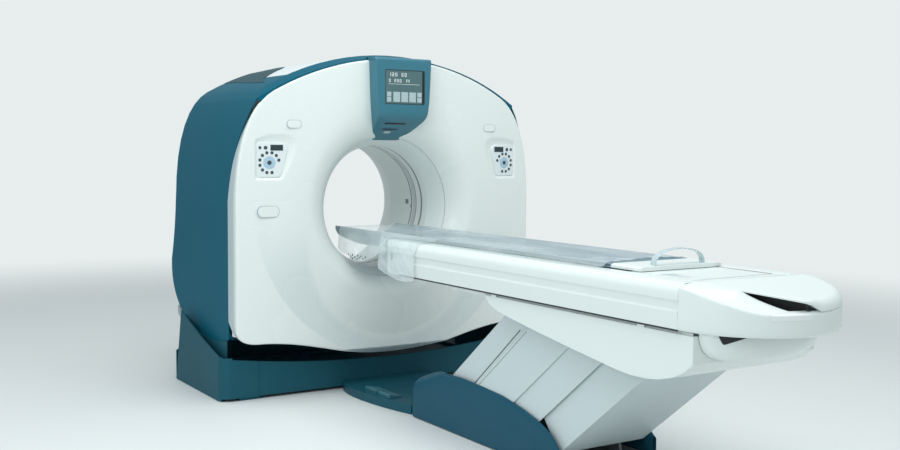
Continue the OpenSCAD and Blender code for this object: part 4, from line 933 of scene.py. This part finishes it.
def film_points(rows=420):
    """Film over the cradle from the gantry's bore to the table's tail."""
    y = np.linspace(film_front, film_rear, rows)[:, None]
    s_far = np.linspace(0.045, 0.0, far_columns)[None, :-1]
    far_x = cradle_edge + 0.003 + np.maximum(0, s_far - 0.0165)
    far_z = np.maximum(cradle_top - s_far, shoulder_top)

    x_top = np.linspace(cradle_edge, -cradle_edge, top_columns)[None, :-1]
    folds = 0.0006 + 0.0024 * smooth_step(y, -1.15, -0.85) + 0.0065 * smooth_step(-y, 2.36, 2.52)
    lift = folds * np.maximum(0, 0.35 + wrinkle(y, x_top * 1.7, 6))
    top_height = cradle_top + lift * smooth_step(cradle_edge - np.abs(x_top), 0.0, 0.02)

    s = near_length(y) * np.linspace(0, 1, near_columns)[None, :]
    share = 1 - smooth_step(y, -0.985, -0.90)
    side = blended(s, share)
    free = (1 - share) * s / 0.18
    swell = free * 0.010 * (1 + wrinkle(y, s, 3))
    side_x = side[..., 0] - swell - 0.0012 * (1 + wrinkle(y * 2, s, 4)) * (s > 0.01)
    side_z = side[..., 1] + (1 - free) * 0.0012 * (1 + wrinkle(y * 2, s, 5)) * (s > 0.012)

    x = np.concatenate([np.repeat(far_x, rows, 0), np.repeat(x_top, rows, 0), side_x], 1)
    z = np.concatenate([np.repeat(far_z, rows, 0), top_height, side_z], 1)
    return points_of(x, y, z)


film_grid = film_points()
film = grid_piece("clear_film", film_grid, "clear_film", "cradle", ["vinyl_sheet"], angle=80, flip=True)

# %% [markdown]
# Where the cradle leaves the table, a second length of film is caught round the table's front corner. It
# belongs to the table top, so that the cradle can slide under it. Its lower edge is slanted and torn
# straight, and it has deep folds, because it turns both over the shoulder and round the corner.

# %% Film round the table's front corner
corner_y = [0.79, 0.90, 0.985, 1.05, 1.15, 1.24, 1.30, 1.36]
corner_length = [0.105, 0.175, 0.262, 0.282, 0.302, 0.306, 0.300, 0.290]


def corner_points(rows=150, columns=90):
    """From the cradle's edge over the shoulder and down, for y from -0.79 to -1.345."""
    y = np.linspace(-0.79, -1.345, rows)[:, None]
    s = np.interp(-y, corner_y, corner_length) * np.linspace(0, 1, columns)[None, :]
    side = blended(s, smooth_step(-y, 0.80, 1.0))
    fold = wrinkle(y * 1.3, s * 1.5, 9)
    loose = smooth_step(s, 0.01, 0.08)
    x = side[..., 0] - 0.0022 - (0.0050 * (1 + fold) + 0.004 * (1 + wrinkle(y * 0.6, s, 11))) * loose * 0.8
    ripple = 0.0022 * (1 + wrinkle(y, s * 2, 10)) * (1 - smooth_step(s, 0.09, 0.14)) * loose
    z = side[..., 1] + 0.0015 + ripple
    return points_of(x, y, z)


corner_grid = corner_points()
corner = grid_piece("corner_film", corner_grid, "clear_film", "left_side_panel", angle=80, flip=True)

# %% [markdown]
# Rows of small holes run along the film's hanging edge. Each is a thin disc of black painted shade, which
# stands a millimetre and a half off the film and is set by the hole's place along the table and its height.

# %% Holes in the film's hem
hole_pitch, hole_z, row_drop = 0.052, 0.765, 0.010


def film_hole(y, z, radius=0.0062, sides=14):
    """A small disc on the film's hanging flap, found by the nearest point of the film's grid."""
    flap = film_grid[:, first_hanging:].reshape(-1, 3)
    near = flap[np.argmin((flap[:, 1] - y) ** 2 + (flap[:, 2] - z) ** 2)]
    turn = np.linspace(0, 2 * math.pi, sides, endpoint=False)
    ring = [[near[0] - 0.0014, y + radius * math.cos(t), z + radius * math.sin(t)] for t in turn]
    return np.array(ring + [[near[0] - 0.0016, y, z]]), [[k, sides, (k + 1) % sides] for k in range(sides)]


holes = []
for row, (row_start, count) in enumerate(((-0.422, 5), (-0.448, 4), (-0.475, 2))):
    for place in range(count):
        y = row_start - hole_pitch * place
        holes.append(film_hole(y, hole_z - row_drop * row + 0.02 * (y + 0.52) ** 2))
# The black discs are painted shade, where the shaded cradle shows through the holes.
hem = new_piece("film_holes_painted_shade", *joined(holes), "black_trim", "cradle")
print("holes:", len(holes))

# %% [markdown]
# When the table is lowered, the flap comes down on the bore's lip, where the real film folds up. Both
# pieces get meshes of their own.

# %% Give the film's pieces their own meshes
for piece in (film, hem):
    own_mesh(piece)

# %% [markdown]
# ## Oval caps on the face
# Three oval caps close openings in the face. Each is a thin plate with a soft edge over a slightly larger
# grey one, whose rim shows as the line round the cap. They follow the face's own depth.

# %% Oval caps
cap_line = 0.0022
caps = [(-0.624, 1.490, 0.042, 0.0205), (0.640, 1.490, 0.042, 0.0205), (-0.771, 1.024, 0.061, 0.0285)]


def oval(middle, half_long, half_tall, steps=14):
    """Two half circles joined by straight sides."""
    straight = half_long - half_tall
    turn = np.linspace(-math.pi / 2, math.pi / 2, steps)
    right = points_of(straight + half_tall * np.cos(turn), half_tall * np.sin(turn))
    return np.concatenate([right, -right]) + middle


for number, (x, z, long, tall) in enumerate(caps):
    front = min(face_y(x - long, z), face_y(x + long, z)) - 0.0012
    line = slab(oval((x, z), long + cap_line, tall + cap_line), front + 0.0006, 0.008, 0.0006)
    new_piece(f"cap_line_{number}", *line, "edge_grey", "front_cover")
    lid = slab(oval((x, z), long, tall), front, 0.008, 0.0015)
    new_piece(f"cap_{number}", *lid, "white_cover", "front_cover", ["cover_caps"] if number == 0 else [])
print("caps:", len(caps))

# %% [markdown]
# ## Inside the base
# Between the base and the tilting covers there is a gap, and in it one sees the dark inside of the base. A
# tray closes its floor and a low wall its back. Two thin walls follow the side covers' lower edge, outside
# the space that the covers swing through.

# %% Tray and walls in the base
tray_bottom, tray_top = 0.060, 0.064
edge_y = [-0.395, -0.371, -0.237, -0.113, 0.048, 0.216, 0.300]
edge_z = [0.330, 0.317, 0.303, 0.298, 0.312, 0.356, 0.384]
wall_inside, wall_outside = 0.9502, 0.9540


def prism(plan, bottom, top):
    """A closed block over an anticlockwise plan of (x, y) points."""
    count = len(plan)
    points = np.concatenate([at_height(plan, bottom), at_height(plan, top)])
    ends = [list(range(count, 2 * count)), list(range(count))[::-1]]
    return points, grid_faces(2, count, closed=True).tolist() + ends


tray_plan = rounded_corners([[-0.985, -0.418], [0.985, -0.418], [0.985, 0.31], [0.925, 0.408],
                             [-0.925, 0.408], [-0.985, 0.31]], 0.03)
new_piece("base_tray", *prism(tray_plan, tray_bottom, tray_top), "teal_dark", "gantry_base_frame")
y = np.linspace(edge_y[0], edge_y[-1], 40)
top = np.interp(y, edge_y, edge_z) + 0.002
section = [(wall_inside, tray_bottom), (wall_inside, top), (wall_outside, top), (wall_outside, tray_bottom)]
for side, word in ((-1, "left"), (1, "right")):
    rows = [points_of(side * x, y, z) for x, z in section]
    grid_piece(word + "_inner_wall", rows, "teal_dark", "gantry_base_frame", flip=side > 0)
back_plan = [(-0.78, 0.400), (0.78, 0.400), (0.78, 0.404), (-0.78, 0.404)]
new_piece("back_inner_wall", *prism(back_plan, tray_bottom, 0.195), "teal_dark", "gantry_base_frame")
print("walls from", tray_bottom, "up to", round(float(top.max()), 3))

# %% [markdown]
# ## The console's moulded housing
# Seen from the side the housing is one path: back along its top, down its front, round the knee and up
# under it to the funnel. Its half-width is a curve of height. At every point of the path a section crosses
# from one side wall to the other with rounded corners, and the walls reach back just behind the face.

# %% Housing
half_z = [1.411, 1.425, 1.45, 1.48, 1.51, 1.54, 1.58, 1.63, 1.70, 1.866]
half_x = [0.084, 0.101, 0.120, 0.136, 0.148, 0.157, 0.165, 0.171, 0.175, 0.182]


def console_side():
    """The housing from the side, as (y, z) points."""
    front = console_front
    return np.concatenate([
        bezier((-0.520, 1.866), (-0.55, 1.866), (-0.59, 1.866), (-0.612, 1.866), 6),
        bezier((-0.612, 1.866), (-0.626, 1.866), (front, 1.860), (front, 1.846), 8)[1:],
        bezier((front, 1.846), (front, 1.75), (front, 1.66), (front, 1.575), 14)[1:],
        bezier((front, 1.575), (front, 1.548), (-0.627, 1.534), (-0.603, 1.518), 12)[1:],
        bezier((-0.603, 1.518), (-0.545, 1.480), (-0.475, 1.446), (-0.412, 1.4115), 22)[1:]])


def console_shell(corner=0.013):
    """A row of points for each point of the side view, from the left wall round the front to the right."""
    side = console_side()
    y, z = side[:, :1], side[:, 1:]
    half = np.interp(z, half_z, half_x)
    behind = np.array([[face_y(w, k) + 0.012 for w, k in zip(half.ravel(), z.ravel())]]).T
    depth = np.maximum(behind - y, 0.002)
    turned = np.minimum(corner, depth)
    bend = np.linspace(0, math.pi / 2, 7)[None, 1:]
    x = np.concatenate([np.repeat(-half, 3, axis=1), -half + corner * (1 - np.cos(bend)),
                        (-half + corner) * (1 - np.linspace(0, 1, 9)[None, 1:])], 1)
    row_y = np.concatenate([y + depth, y + np.maximum(0.5 * depth, turned), y + turned,
                            y + turned * (1 - np.sin(bend)), np.repeat(y, 8, axis=1)], 1)
    x = np.concatenate([x, -x[:, -2::-1]], 1)
    row_y = np.concatenate([row_y, row_y[:, -2::-1]], 1)
    return points_of(x, row_y, z)


shell = console_shell()
grid_piece("console_shell", shell, "console_teal", "console_housing", ["console_housing"], 50, flip=True)
print("console's shell:", shell.shape[:2])

# %% [markdown]
# Two slots, black plates of painted shade, and a pale tab lie on the slanted underside. Each is a small
# plate, moved off the slant along the direction that it faces. A dark frame lies round the screen's glass.

# %% Slots, tab and screen frame
slant_z, slant_y = [1.4115, 1.4460, 1.4800, 1.5180], [-0.412, -0.476, -0.536, -0.603]


def on_slant(x, z, off):
    """A point on the console's slanted underside at a height, moved off it."""
    return [x, np.interp(z, slant_z, slant_y) - 0.48 * off, z - 0.87 * off]


def slant_plate(x0, x1, z0, z1, off=0.0022):
    """A plate on the slant, with its front and four edges."""
    corners = [(x0, z0), (x1, z0), (x1, z1), (x0, z1)]
    points = [on_slant(x, z, out) for out in (off, -0.003) for x, z in corners]
    return np.array(points), [[0, 1, 2, 3], [1, 0, 4, 5], [2, 1, 5, 6], [3, 2, 6, 7], [0, 3, 7, 4]]


slots = joined([slant_plate(-0.093, 0.040, 1.500, 1.508), slant_plate(-0.080, 0.019, 1.470, 1.477)])
# The slots' black is painted shade.
new_piece("console_slots_painted_shade", *slots, "black_trim", "console_housing")
new_piece("console_tab", *slant_plate(-0.052, -0.012, 1.452, 1.462), "screen_key", "console_housing")
bezel = slab(rectangle(-0.121, 0.134, 1.609, 1.800, 0.008), console_front - 0.0006, 0.004, 0.0006)
new_piece("screen_bezel", *bezel, "display_dark", "console_housing")
print("console ready")

# %% [markdown]
# ## The skirt over the table's foot
# The skirt is a wall round the foot with a rolled top edge. Its height is a curve along the table, and its
# plan is a long U with a rounded front. Rows of the grid climb the wall, roll over the edge and drop inside
# again. The roll is fat round the front, where nothing is near, and thin beside the leg.

# %% Build the skirt
skirt_y = [-2.400, -2.382, -2.340, -2.270, -2.125, -1.973, -1.813, -1.644, -1.465, -1.372, -1.257, -1.172,
           -1.138, -1.116]
skirt_z = [0.085, 0.108, 0.154, 0.190, 0.229, 0.257, 0.268, 0.277, 0.274, 0.258, 0.220, 0.182, 0.155, 0.120]
skirt_half, skirt_front, skirt_rear, skirt_corner = 0.2755, -1.116, -2.399, 0.120


def skirt_height(y):
    """Smoothed height of the skirt: the mean of five neighbouring readings of the curve."""
    return sum(np.interp(y + shift, skirt_y, skirt_z) for shift in (-0.03, -0.015, 0, 0.015, 0.03)) / 5


def skirt_plan():
    """The U as (x, y) points, from the rear left round the front to the rear right."""
    turn = np.linspace(0, math.pi / 2, 24)
    bend_start = skirt_front - skirt_corner
    left = points_of(-skirt_half, np.linspace(skirt_rear, bend_start, 90))
    corner = points_of(-skirt_half + skirt_corner * (1 - np.cos(turn)),
                       bend_start + skirt_corner * np.sin(turn))
    across = points_of(np.linspace(-skirt_half + skirt_corner, 0, 14), skirt_front)
    run = np.concatenate([left, corner[1:], across[1:]])
    return np.concatenate([run, run[-2::-1] * [-1, 1]])


def table_skirt():
    """Rows round the plan: up the wall, over the roll and down inside."""
    run = skirt_plan()
    ahead = np.gradient(run, axis=0)
    ahead /= np.linalg.norm(ahead, axis=1, keepdims=True)
    inward = ahead[:, ::-1] * [1, -1]
    wide = smooth_step(run[:, 1], -1.52, -1.30)
    roll, lip = 0.016 + 0.034 * wide, 0.0175 + 0.060 * wide
    wall_top = skirt_height(run[:, 1])
    rows = [at_height(run, 0.004 + share * np.maximum(wall_top - roll - 0.004, 0.001))
            for share in np.linspace(0, 1, 8)]
    bends = np.linspace(0, math.pi / 2, 9)[1:]
    steps = [(roll * (1 - math.cos(bend)), roll * (1 - math.sin(bend)), 0.006) for bend in bends]
    steps += [(roll + share * (lip - roll), 0.001 * share, 0.006) for share in (0.5, 1.0)]
    steps += [(lip + 0.002, drop, 0.005) for drop in (0.012, 0.090)]
    for inset, drop, least in steps:
        place = run + inward * inset[:, None]
        rows.append(at_height(place, np.maximum(skirt_height(place[:, 1]) - drop, least)))
    return rows


skirt = table_skirt()
grid_piece("table_skirt", skirt, "skirt_teal", "table_base_cover", ["table_base_cover"], 60, flip=True)
print("skirt height in its middle:", round(float(skirt_height(-1.64)), 3))

# %% [markdown]
# ## The table's tail
# The tail has a rounded nose. Its rim dips at the near side, where a hand reaches under the lid to free the
# table top. The shell is a grid of the nose's turn against a path that climbs the wall, rounds the rim and
# runs inwards under the lid.

# %% Heights and places on the tail
nose, nose_shoulder = 0.339, 0.016
tail_start, seam_reach = -3.1405, 0.237
lid_top, lid_fall, lid_length = 0.8955, 0.044, 0.34
slot_a, slot_b = np.array([-0.186, -3.284]), np.array([-0.066, -3.468])
slot_run = slot_b - slot_a
slot_first, slot_last = 38, 78
rim_low = 0.813
rim_turns = [0, 8, 18, 30, 42, 52, 80]
rim_heights = [0.888, 0.882, 0.867, 0.847, 0.826, 0.814, 0.811]
far_side = 82


def lid_height(y):
    """The lid slopes down towards the nose."""
    return lid_top - lid_fall * np.clip((tail_start - y) / lid_length, 0, 1) ** 1.1


def on_nose(turns, out):
    """Plan points at a distance from the nose's middle, for turns in degrees from its left side round."""
    turn = np.radians(turns)
    return points_of(-out * np.cos(turn), tail_start - out * np.sin(turn))


def slot_reach(turns):
    """Distance from the nose's middle to the line of the hand opening, for each turn."""
    away = on_nose(turns, 1.0) - [0.0, tail_start]
    offset = slot_a - [0.0, tail_start]
    cross = away[:, 0] * slot_run[1] - away[:, 1] * slot_run[0]
    return (offset[0] * slot_run[1] - offset[1] * slot_run[0]) / np.where(np.abs(cross) < 1e-6, 1e-6, cross)


print("lid from", round(float(lid_height(tail_start)), 3), "to", round(float(lid_height(-3.48)), 3))

# %% [markdown]
# With these curves the shell is a list of steps. Each step says how far out its row of points lies and how
# high, for every turn round the nose.

# %% Build the tail's shell
def tail_rims(turns):
    """How far in the rim reaches, its outer and inner heights, and the lid's height over its inner edge."""
    reach = np.where(turns < slot_first, seam_reach, np.where(turns > slot_last, nose, slot_reach(turns)))
    reach = np.minimum(reach, nose - nose_shoulder - 0.005)
    far_rim = lid_height(on_nose(turns, nose)[:, 1]) - 0.037
    outer = np.where(turns > far_side, far_rim, np.interp(turns, rim_turns, rim_heights))
    outer = np.convolve(np.pad(outer, 4, mode="edge"), np.ones(9) / 9, mode="valid")
    inner_edge = on_nose(turns, reach)
    lid = lid_height(inner_edge[:, 1])
    sunk = np.clip((inner_edge - slot_a) @ slot_run / (slot_run @ slot_run) / 0.80, 0, 1) ** 0.85
    sunk = np.where(turns < slot_first, 0, sunk)
    inner = np.where(turns > far_side, outer, (1 - sunk) * lid + sunk * np.minimum(outer, rim_low))
    return reach, outer, inner, lid


def tail_shell(foot=0.740):
    """Rows round the nose: under the edge, up the wall, over the rim, inwards and down into the opening."""
    turns = np.arange(0, 181)
    reach, outer, inner, lid = tail_rims(turns)
    steps = [(nose - 0.030, 0.7245), (nose - 0.010, 0.7255), (nose - 0.003, 0.7300), (nose, foot)]
    steps += [(nose, foot + share * (outer - nose_shoulder - foot)) for share in (0.33, 0.66, 1.0)]
    steps += [(nose - nose_shoulder * (1 - math.cos(bend)), outer - nose_shoulder * (1 - math.sin(bend)))
              for bend in np.linspace(0, math.pi / 2, 7)[1:-1]]
    steps += [((nose - nose_shoulder) * (1 - share) + reach * share,
               outer + (inner - outer) * math.sin(share * math.pi / 2)) for share in np.linspace(0, 1, 10)]
    steps += [(reach - inset, np.minimum(inner, lid - 0.020) - drop)
              for inset, drop in ((0.002, 0.003), (0.004, 0.012), (0.030, 0.030), (0.120, 0.034))]
    return [at_height(on_nose(turns, out), height) for out, height in steps]


shell = np.array(tail_shell())
grid_piece("tail_shell", shell, "table_white", "tail_cover", ["tail_cover"], angle=50)
print("tail's shell:", shell.shape[:2])

# %% [markdown]
# The lid is rings about its middle. Its near edge is thin over the hand opening, and its far edge rolls
# down to the shell's rim. It is drawn like the shell, as a list of steps.

# %% Lid
def tail_lid():
    """Rings from the lid's middle out to its rolled edge, and back in below."""
    slot_side = slot_a + np.linspace(0, 1, 16)[1:, None] * slot_run
    edge = np.concatenate([on_nose(np.linspace(0, slot_first, 9), seam_reach), slot_side,
                           on_nose(np.linspace(83, 180, 50), nose - 0.0005)])
    roll = np.concatenate([np.full(9, 0.003), np.linspace(0.003, 0.006, 15),
                           np.minimum(0.036, np.linspace(0.012, 0.3, 50))])
    middle = np.array([0.04, -3.25])
    inwards = (middle - edge) / np.linalg.norm(middle - edge, axis=1, keepdims=True)
    steps = [(middle + (edge + inwards * roll[:, None] - middle) * share, 0.0)
             for share in (0.0, 0.25, 0.5, 0.75, 0.95)]
    steps += [(edge + inwards * (roll * (1 - math.sin(bend)))[:, None], roll * (1 - math.cos(bend)))
              for bend in np.linspace(0, math.pi / 2, 8)]
    steps += [(edge + inwards * inset, roll + drop)
              for inset, drop in ((0.0, 0.003), (0.003, 0.004), (0.090, 0.004))]
    return [at_height(place, lid_height(place[:, 1]) - drop) for place, drop in steps]


lid = np.array(tail_lid())
grid_piece("tail_lid", lid, "table_white", "tail_cover", angle=40, closed=True, flip=True)
print("lid:", lid.shape[:2])

# %% [markdown]
# The black wall behind the opening is painted shade, and it reaches up to the lid. The grip follows a part
# of the nose and rolls over the rim.

# %% Hand opening and grip
inside = np.array([0.045, 0.035])
back_wall = slot_a + np.linspace(-0.05, 1.0, 20)[:, None] * slot_run
opening = [at_height(back_wall, 0.806), at_height(back_wall + inside * 0.8, 0.802),
           at_height(back_wall + inside, 0.808),
           at_height(back_wall + inside, lid_height(back_wall[:, 1]) - 0.004)]
# The opening's black wall is painted shade.
grid_piece("hand_opening_painted_shade", opening, "black_trim", "tail_cover")

grip_turns = np.linspace(57, 83, 24)
grip_path = [(-0.002, 0.786), (0.0008, 0.787), (0.0008, 0.804), (-0.006, 0.8115), (-0.034, 0.8155),
             (-0.038, 0.810)]
grip = [at_height(on_nose(grip_turns, nose + out), height) for out, height in grip_path]
grid_piece("hand_grip", grip, "grip_white", "tail_cover")
print("grip over", grip_turns[-1] - grip_turns[0], "degrees")

# %% [markdown]
# The chin under the tail is a half bowl with a flat underside. A slot is cut into it beside the tail. Its
# shade is painted as a thin black wedge that lies on the chin's own surface.

# %% Chin
chin_y, chin_top, chin_tall = -3.2030, 0.7215, 0.1005
chin_half, chin_reach, chin_taper = 0.298, 0.128, 0.34


def chin_point(turn, bend):
    """A point on the chin: the turn runs round its nose, the bend from its top (0) to its underside (90)."""
    keep = 1 - chin_taper * (1 - np.cos(bend))
    x = -chin_half * keep * np.cos(turn)
    y = chin_y - chin_reach * keep * np.sin(turn) ** 0.8
    return points_of(x, y, chin_top - chin_tall * np.sin(bend))


chin_turn = np.radians(np.linspace(0, 180, 91))
chin_rows = [chin_point(chin_turn, bend) for bend in np.linspace(0, math.pi / 2, 14)]
flat_middle = np.array([0.0, chin_y, chin_top - chin_tall])
chin_rows += [flat_middle + (chin_rows[-1] - flat_middle) * share for share in (0.6, 0.2, 0.0)]
grid_piece("chin_shell", chin_rows, "table_white", "tail_chin", ["tail_chin"], angle=50)

wedge_turn = np.radians(np.linspace(26, 62, 20))
wedge_bend = np.interp(np.linspace(0, 1, 20), [0, 0.12, 1], [0.05, 0.34, 0.02])
wedge = np.array([chin_point(wedge_turn, bend) for bend in (0.0, wedge_bend)]) + [-0.0015, -0.0015, 0.0]
# The black wedge is painted shade in the slot.
grid_piece("chin_slot_painted_shade", wedge, "black_trim", "tail_chin")
print("chin from", chin_top, "down to", round(chin_top - chin_tall, 3))

# %% [markdown]
# ## The clear hoop
# The hoop on the cradle's end is a bent flat band. Its section, a rounded rectangle, runs along half an
# oval.

# %% Build the hoop
hoop_y, hoop_x, hoop_z = -2.790, 0.131, 0.0625
half_thick, half_wide = 0.0028, 0.0155
sweep = np.linspace(0, math.pi, 61)
band = []
for around in np.linspace(0, 2 * math.pi, 17)[:-1]:
    thick = half_thick * math.cos(around)
    wide = half_wide * np.sign(math.sin(around)) * abs(math.sin(around)) ** 0.5
    band.append(points_of(-(hoop_x + thick) * np.cos(sweep), hoop_y + wide,
                          cradle_top + (hoop_z + thick) * np.sin(sweep) ** 0.75))
grid_piece("hoop_band", band + [band[0]], "clear_plastic", "hoop_handle", ["hoop_handle"], angle=50)
print("hoop", round(2000 * hoop_x), "mm wide and", round(1000 * hoop_z, 1), "mm high")

# %% [markdown]
# ## Fine lines
# Thin seams tell covers apart. Each is a narrow dark ribbon that stands a little off the surface. One more
# dark ribbon is painted shadow in the gap under the table's side panels. The helper takes a path and the
# direction that the surface faces. The belly's pale lip is a wider ribbon of the same kind.

# %% Seams
def ribbon(path, faces_to, width):
    """A flat strip along a path, turned so that it faces a direction."""
    path, faces_to = np.asarray(path, float), np.asarray(faces_to, float)
    aside = np.cross(np.gradient(path, axis=0), faces_to)
    aside /= np.linalg.norm(aside, axis=1, keepdims=True)
    return np.stack([path - aside * width / 2, path + aside * width / 2]), grid_faces(2, len(path), flip=True)


def side_lines(path, x, width):
    """The same ribbon on both sides of the table, from (y, z) points."""
    return joined([ribbon([[s * x, y, z] for y, z in path][::-s], (s, 0, 0), width) for s in (-1, 1)])


def level_line(y_front, y_rear, z, steps):
    """A straight level path along the table, as (y, z) points."""
    return [(y, z) for y in np.linspace(y_front, y_rear, steps)]


front_seam = [(-1.640, 0.196), (-1.685, 0.234), (-1.88, 0.400), (-2.078, 0.569)]
second_seam = [(-1.700, 0.206), (-1.765, 0.261), (-1.95, 0.412), (-2.144, 0.574)]
deck_path = at_height([(0.203, -2.800), (0.200, -2.95), (0.196, -3.095)], 0.8956)
tail_path = at_height([(0.196, -3.097), (0.0, -3.101), (-0.150, -3.104), (-0.225, -3.106)], 0.8958)
straight_up = (0, 0, 1)
lines = [
    ("leg_seams", side_lines(front_seam, 0.2446, 0.0045), "seam_dark", "front_leg_cover"),
    ("leg_seams_soft", side_lines(second_seam, 0.2585, 0.0035), "seam_grey", "middle_front_panels"),
    ("table_shadow_line", side_lines(level_line(-1.165, -3.139, 0.7255, 20), 0.3351, 0.0065), "seam_dark",
     "left_side_panel"),
    ("belly_lip", side_lines(level_line(-1.620, -3.190, 0.7125, 12), 0.3122, 0.0165), "table_white",
     "belly_cover"),
    ("deck_strip", ribbon(deck_path, straight_up, 0.005), "strip_red", "rear_deck"),
    ("deck_seam", ribbon(tail_path, straight_up, 0.0035), "seam_grey", "rear_deck"),
]
for name, shape, finish, node in lines:
    new_piece(name, *shape, finish, node)
print("lines:", len(lines))

# %% [markdown]
# ## Ribs and vent panels
# The latch at the cradle's end has eight low ribs that give a thumb some grip. Each is half a cylinder that
# waves a little. On the gantry's roof a dark vent panel lies on each side, on the large top arc.

# %% Ribs on the latch and vent panels on the roof
rib_count, rib_pitch = 8, 0.0165


def rib(y):
    """Half a thin cylinder across the latch, with a slight wave."""
    x = np.linspace(-0.203, -0.141, 12)
    rows = [points_of(x, y + 0.0052 * math.cos(t) + 0.002 * np.sin(x * 90), 0.8925 + 0.0031 * math.sin(t))
            for t in np.linspace(0, math.pi, 7)]
    return np.array(rows), grid_faces(7, 12, flip=True)


def roof_point(x, y, off=0.0012):
    """A point just off the gantry's large top arc."""
    r = top_radius + off
    return [x, y, top_z - top_radius + math.sqrt(r * r - x * x)]


ribs = joined([rib(-3.022 + rib_pitch * k) for k in range(rib_count)])
new_piece("latch_ribs", *ribs, "rib_grey", "end_latch")

vent_front, vent_rear = -0.300, 0.440
vent_y = np.linspace(vent_front, vent_rear, 60)
wave = 0.5 - 0.5 * np.cos(np.clip((vent_y - vent_front) / 0.460, 0, 1) * math.pi)
inner_x = -0.690 + 0.310 * wave - 0.085 * smooth_step(vent_y, 0.16, vent_rear)
outer_x = -0.700 + 0.060 * smooth_step(vent_y, vent_front, 0.40)
vents = []
for side in (-1, 1):
    rows = [[roof_point(-side * (a + (b - a) * t), y) for t in np.linspace(0, 1, 24)]
            for y, a, b in zip(vent_y, outer_x, inner_x)]
    vents.append((np.array(rows), grid_faces(60, 24, flip=side > 0)))
new_piece("vent_panels", *joined(vents), "vent_dark", "top_cover")
print("ribs:", rib_count, "vent panels:", len(vents))

# %% [markdown]
# ## Floor and light
# The photograph's light is bright and even, with a large soft lamp above and cool light from the sides. One
# pale floor, a wide area lamp over the table, a second one from the camera's left and a plain world do the
# same. The lamps are large, so that the shadows on the white covers have no hard edges.

# %% Floor
backdrop_colour = (0.80, 0.85, 0.85, 1)
floor_half, floor_z = 30, -0.001


def backdrop_finish():
    """Pale floor that takes shadows near the object and turns into the backdrop's colour far away."""
    finish = Finish("pale_floor")
    speckle = finish.noise(3.0, 3.0)
    finish.set(Base_Color=finish.mix(speckle, (0.78, 0.81, 0.80), (0.80, 0.83, 0.82)), Roughness=0.6)
    away = finish.node("ShaderNodeVectorMath", {"operation": "LENGTH"}, {0: finish.object_place()}, 1)
    seen_here = finish.node("ShaderNodeLightPath")
    far = finish.node("ShaderNodeEmission", None, {"Color": backdrop_colour, "Strength": 1.0})
    share = away.smooth(3.6, 8.0) * seen_here
    mixed = finish.node("ShaderNodeMixShader", None,
                        {0: share, 1: Value(finish, finish.shader.outputs[0]), 2: far})
    finish.tree.links.new(mixed.socket, finish.tree.nodes["Material Output"].inputs["Surface"])
    return finish.material


floor_mesh = bpy.data.meshes.new("floor")
floor_corners = [(a * floor_half, b * floor_half, floor_z) for a, b in ((-1, -1), (1, -1), (1, 1), (-1, 1))]
floor_mesh.from_pydata(floor_corners, [], [(0, 1, 2, 3)])
floor = add_object("floor", floor_mesh)
floor_mesh.materials.append(backdrop_finish())
print("floor", 2 * floor_half, "m wide")

# %% [markdown]
# The camera sees the plain backdrop colour, while the scanner is lit by a slightly bluer world. A Light
# Path node tells the two kinds of ray apart.

# %% Lamps and world
def lamp(name, place, target, size, watts, colour):
    """A square area lamp that faces a target."""
    light = bpy.data.lights.new(name, "AREA")
    light.shape = "RECTANGLE"
    light.size, light.size_y = size, size
    light.energy = watts
    light.color = colour
    facing = np.array(place, float) - np.array(target, float)
    facing /= np.linalg.norm(facing)
    side = np.cross([0.0, 0.0, 1.0], facing)
    side /= np.linalg.norm(side)
    add_object(name, light).matrix_world = pose_of(side, np.cross(facing, side), facing, place)


lamp("ceiling_light", (-0.6, -2.4, 4.6), (-0.2, -1.2, 0.8), 5.0, 170, (0.95, 0.99, 1.0))
lamp("window_light", (-5.5, -3.6, 2.6), (0, -0.6, 1.0), 3.0, 60, (0.90, 0.97, 1.0))

world = bpy.data.worlds.new("studio")
bpy.context.scene.world = world
world.use_nodes = True
world_nodes, links = world.node_tree.nodes, world.node_tree.links
sky = world_nodes["Background"]
sky.inputs["Color"].default_value = (0.86, 0.93, 0.96, 1)
sky.inputs["Strength"].default_value = 0.60
seen = world_nodes.new("ShaderNodeBackground")
seen.inputs["Color"].default_value = backdrop_colour
rays = world_nodes.new("ShaderNodeLightPath")
choose = world_nodes.new("ShaderNodeMixShader")
for socket, source in enumerate((rays.outputs["Is Camera Ray"], sky.outputs[0], seen.outputs[0])):
    links.new(source, choose.inputs[socket])
links.new(choose.outputs[0], world_nodes["World Output"].inputs[0])
bpy.context.scene.view_settings.view_transform = "Standard"
print("floor and lights ready")
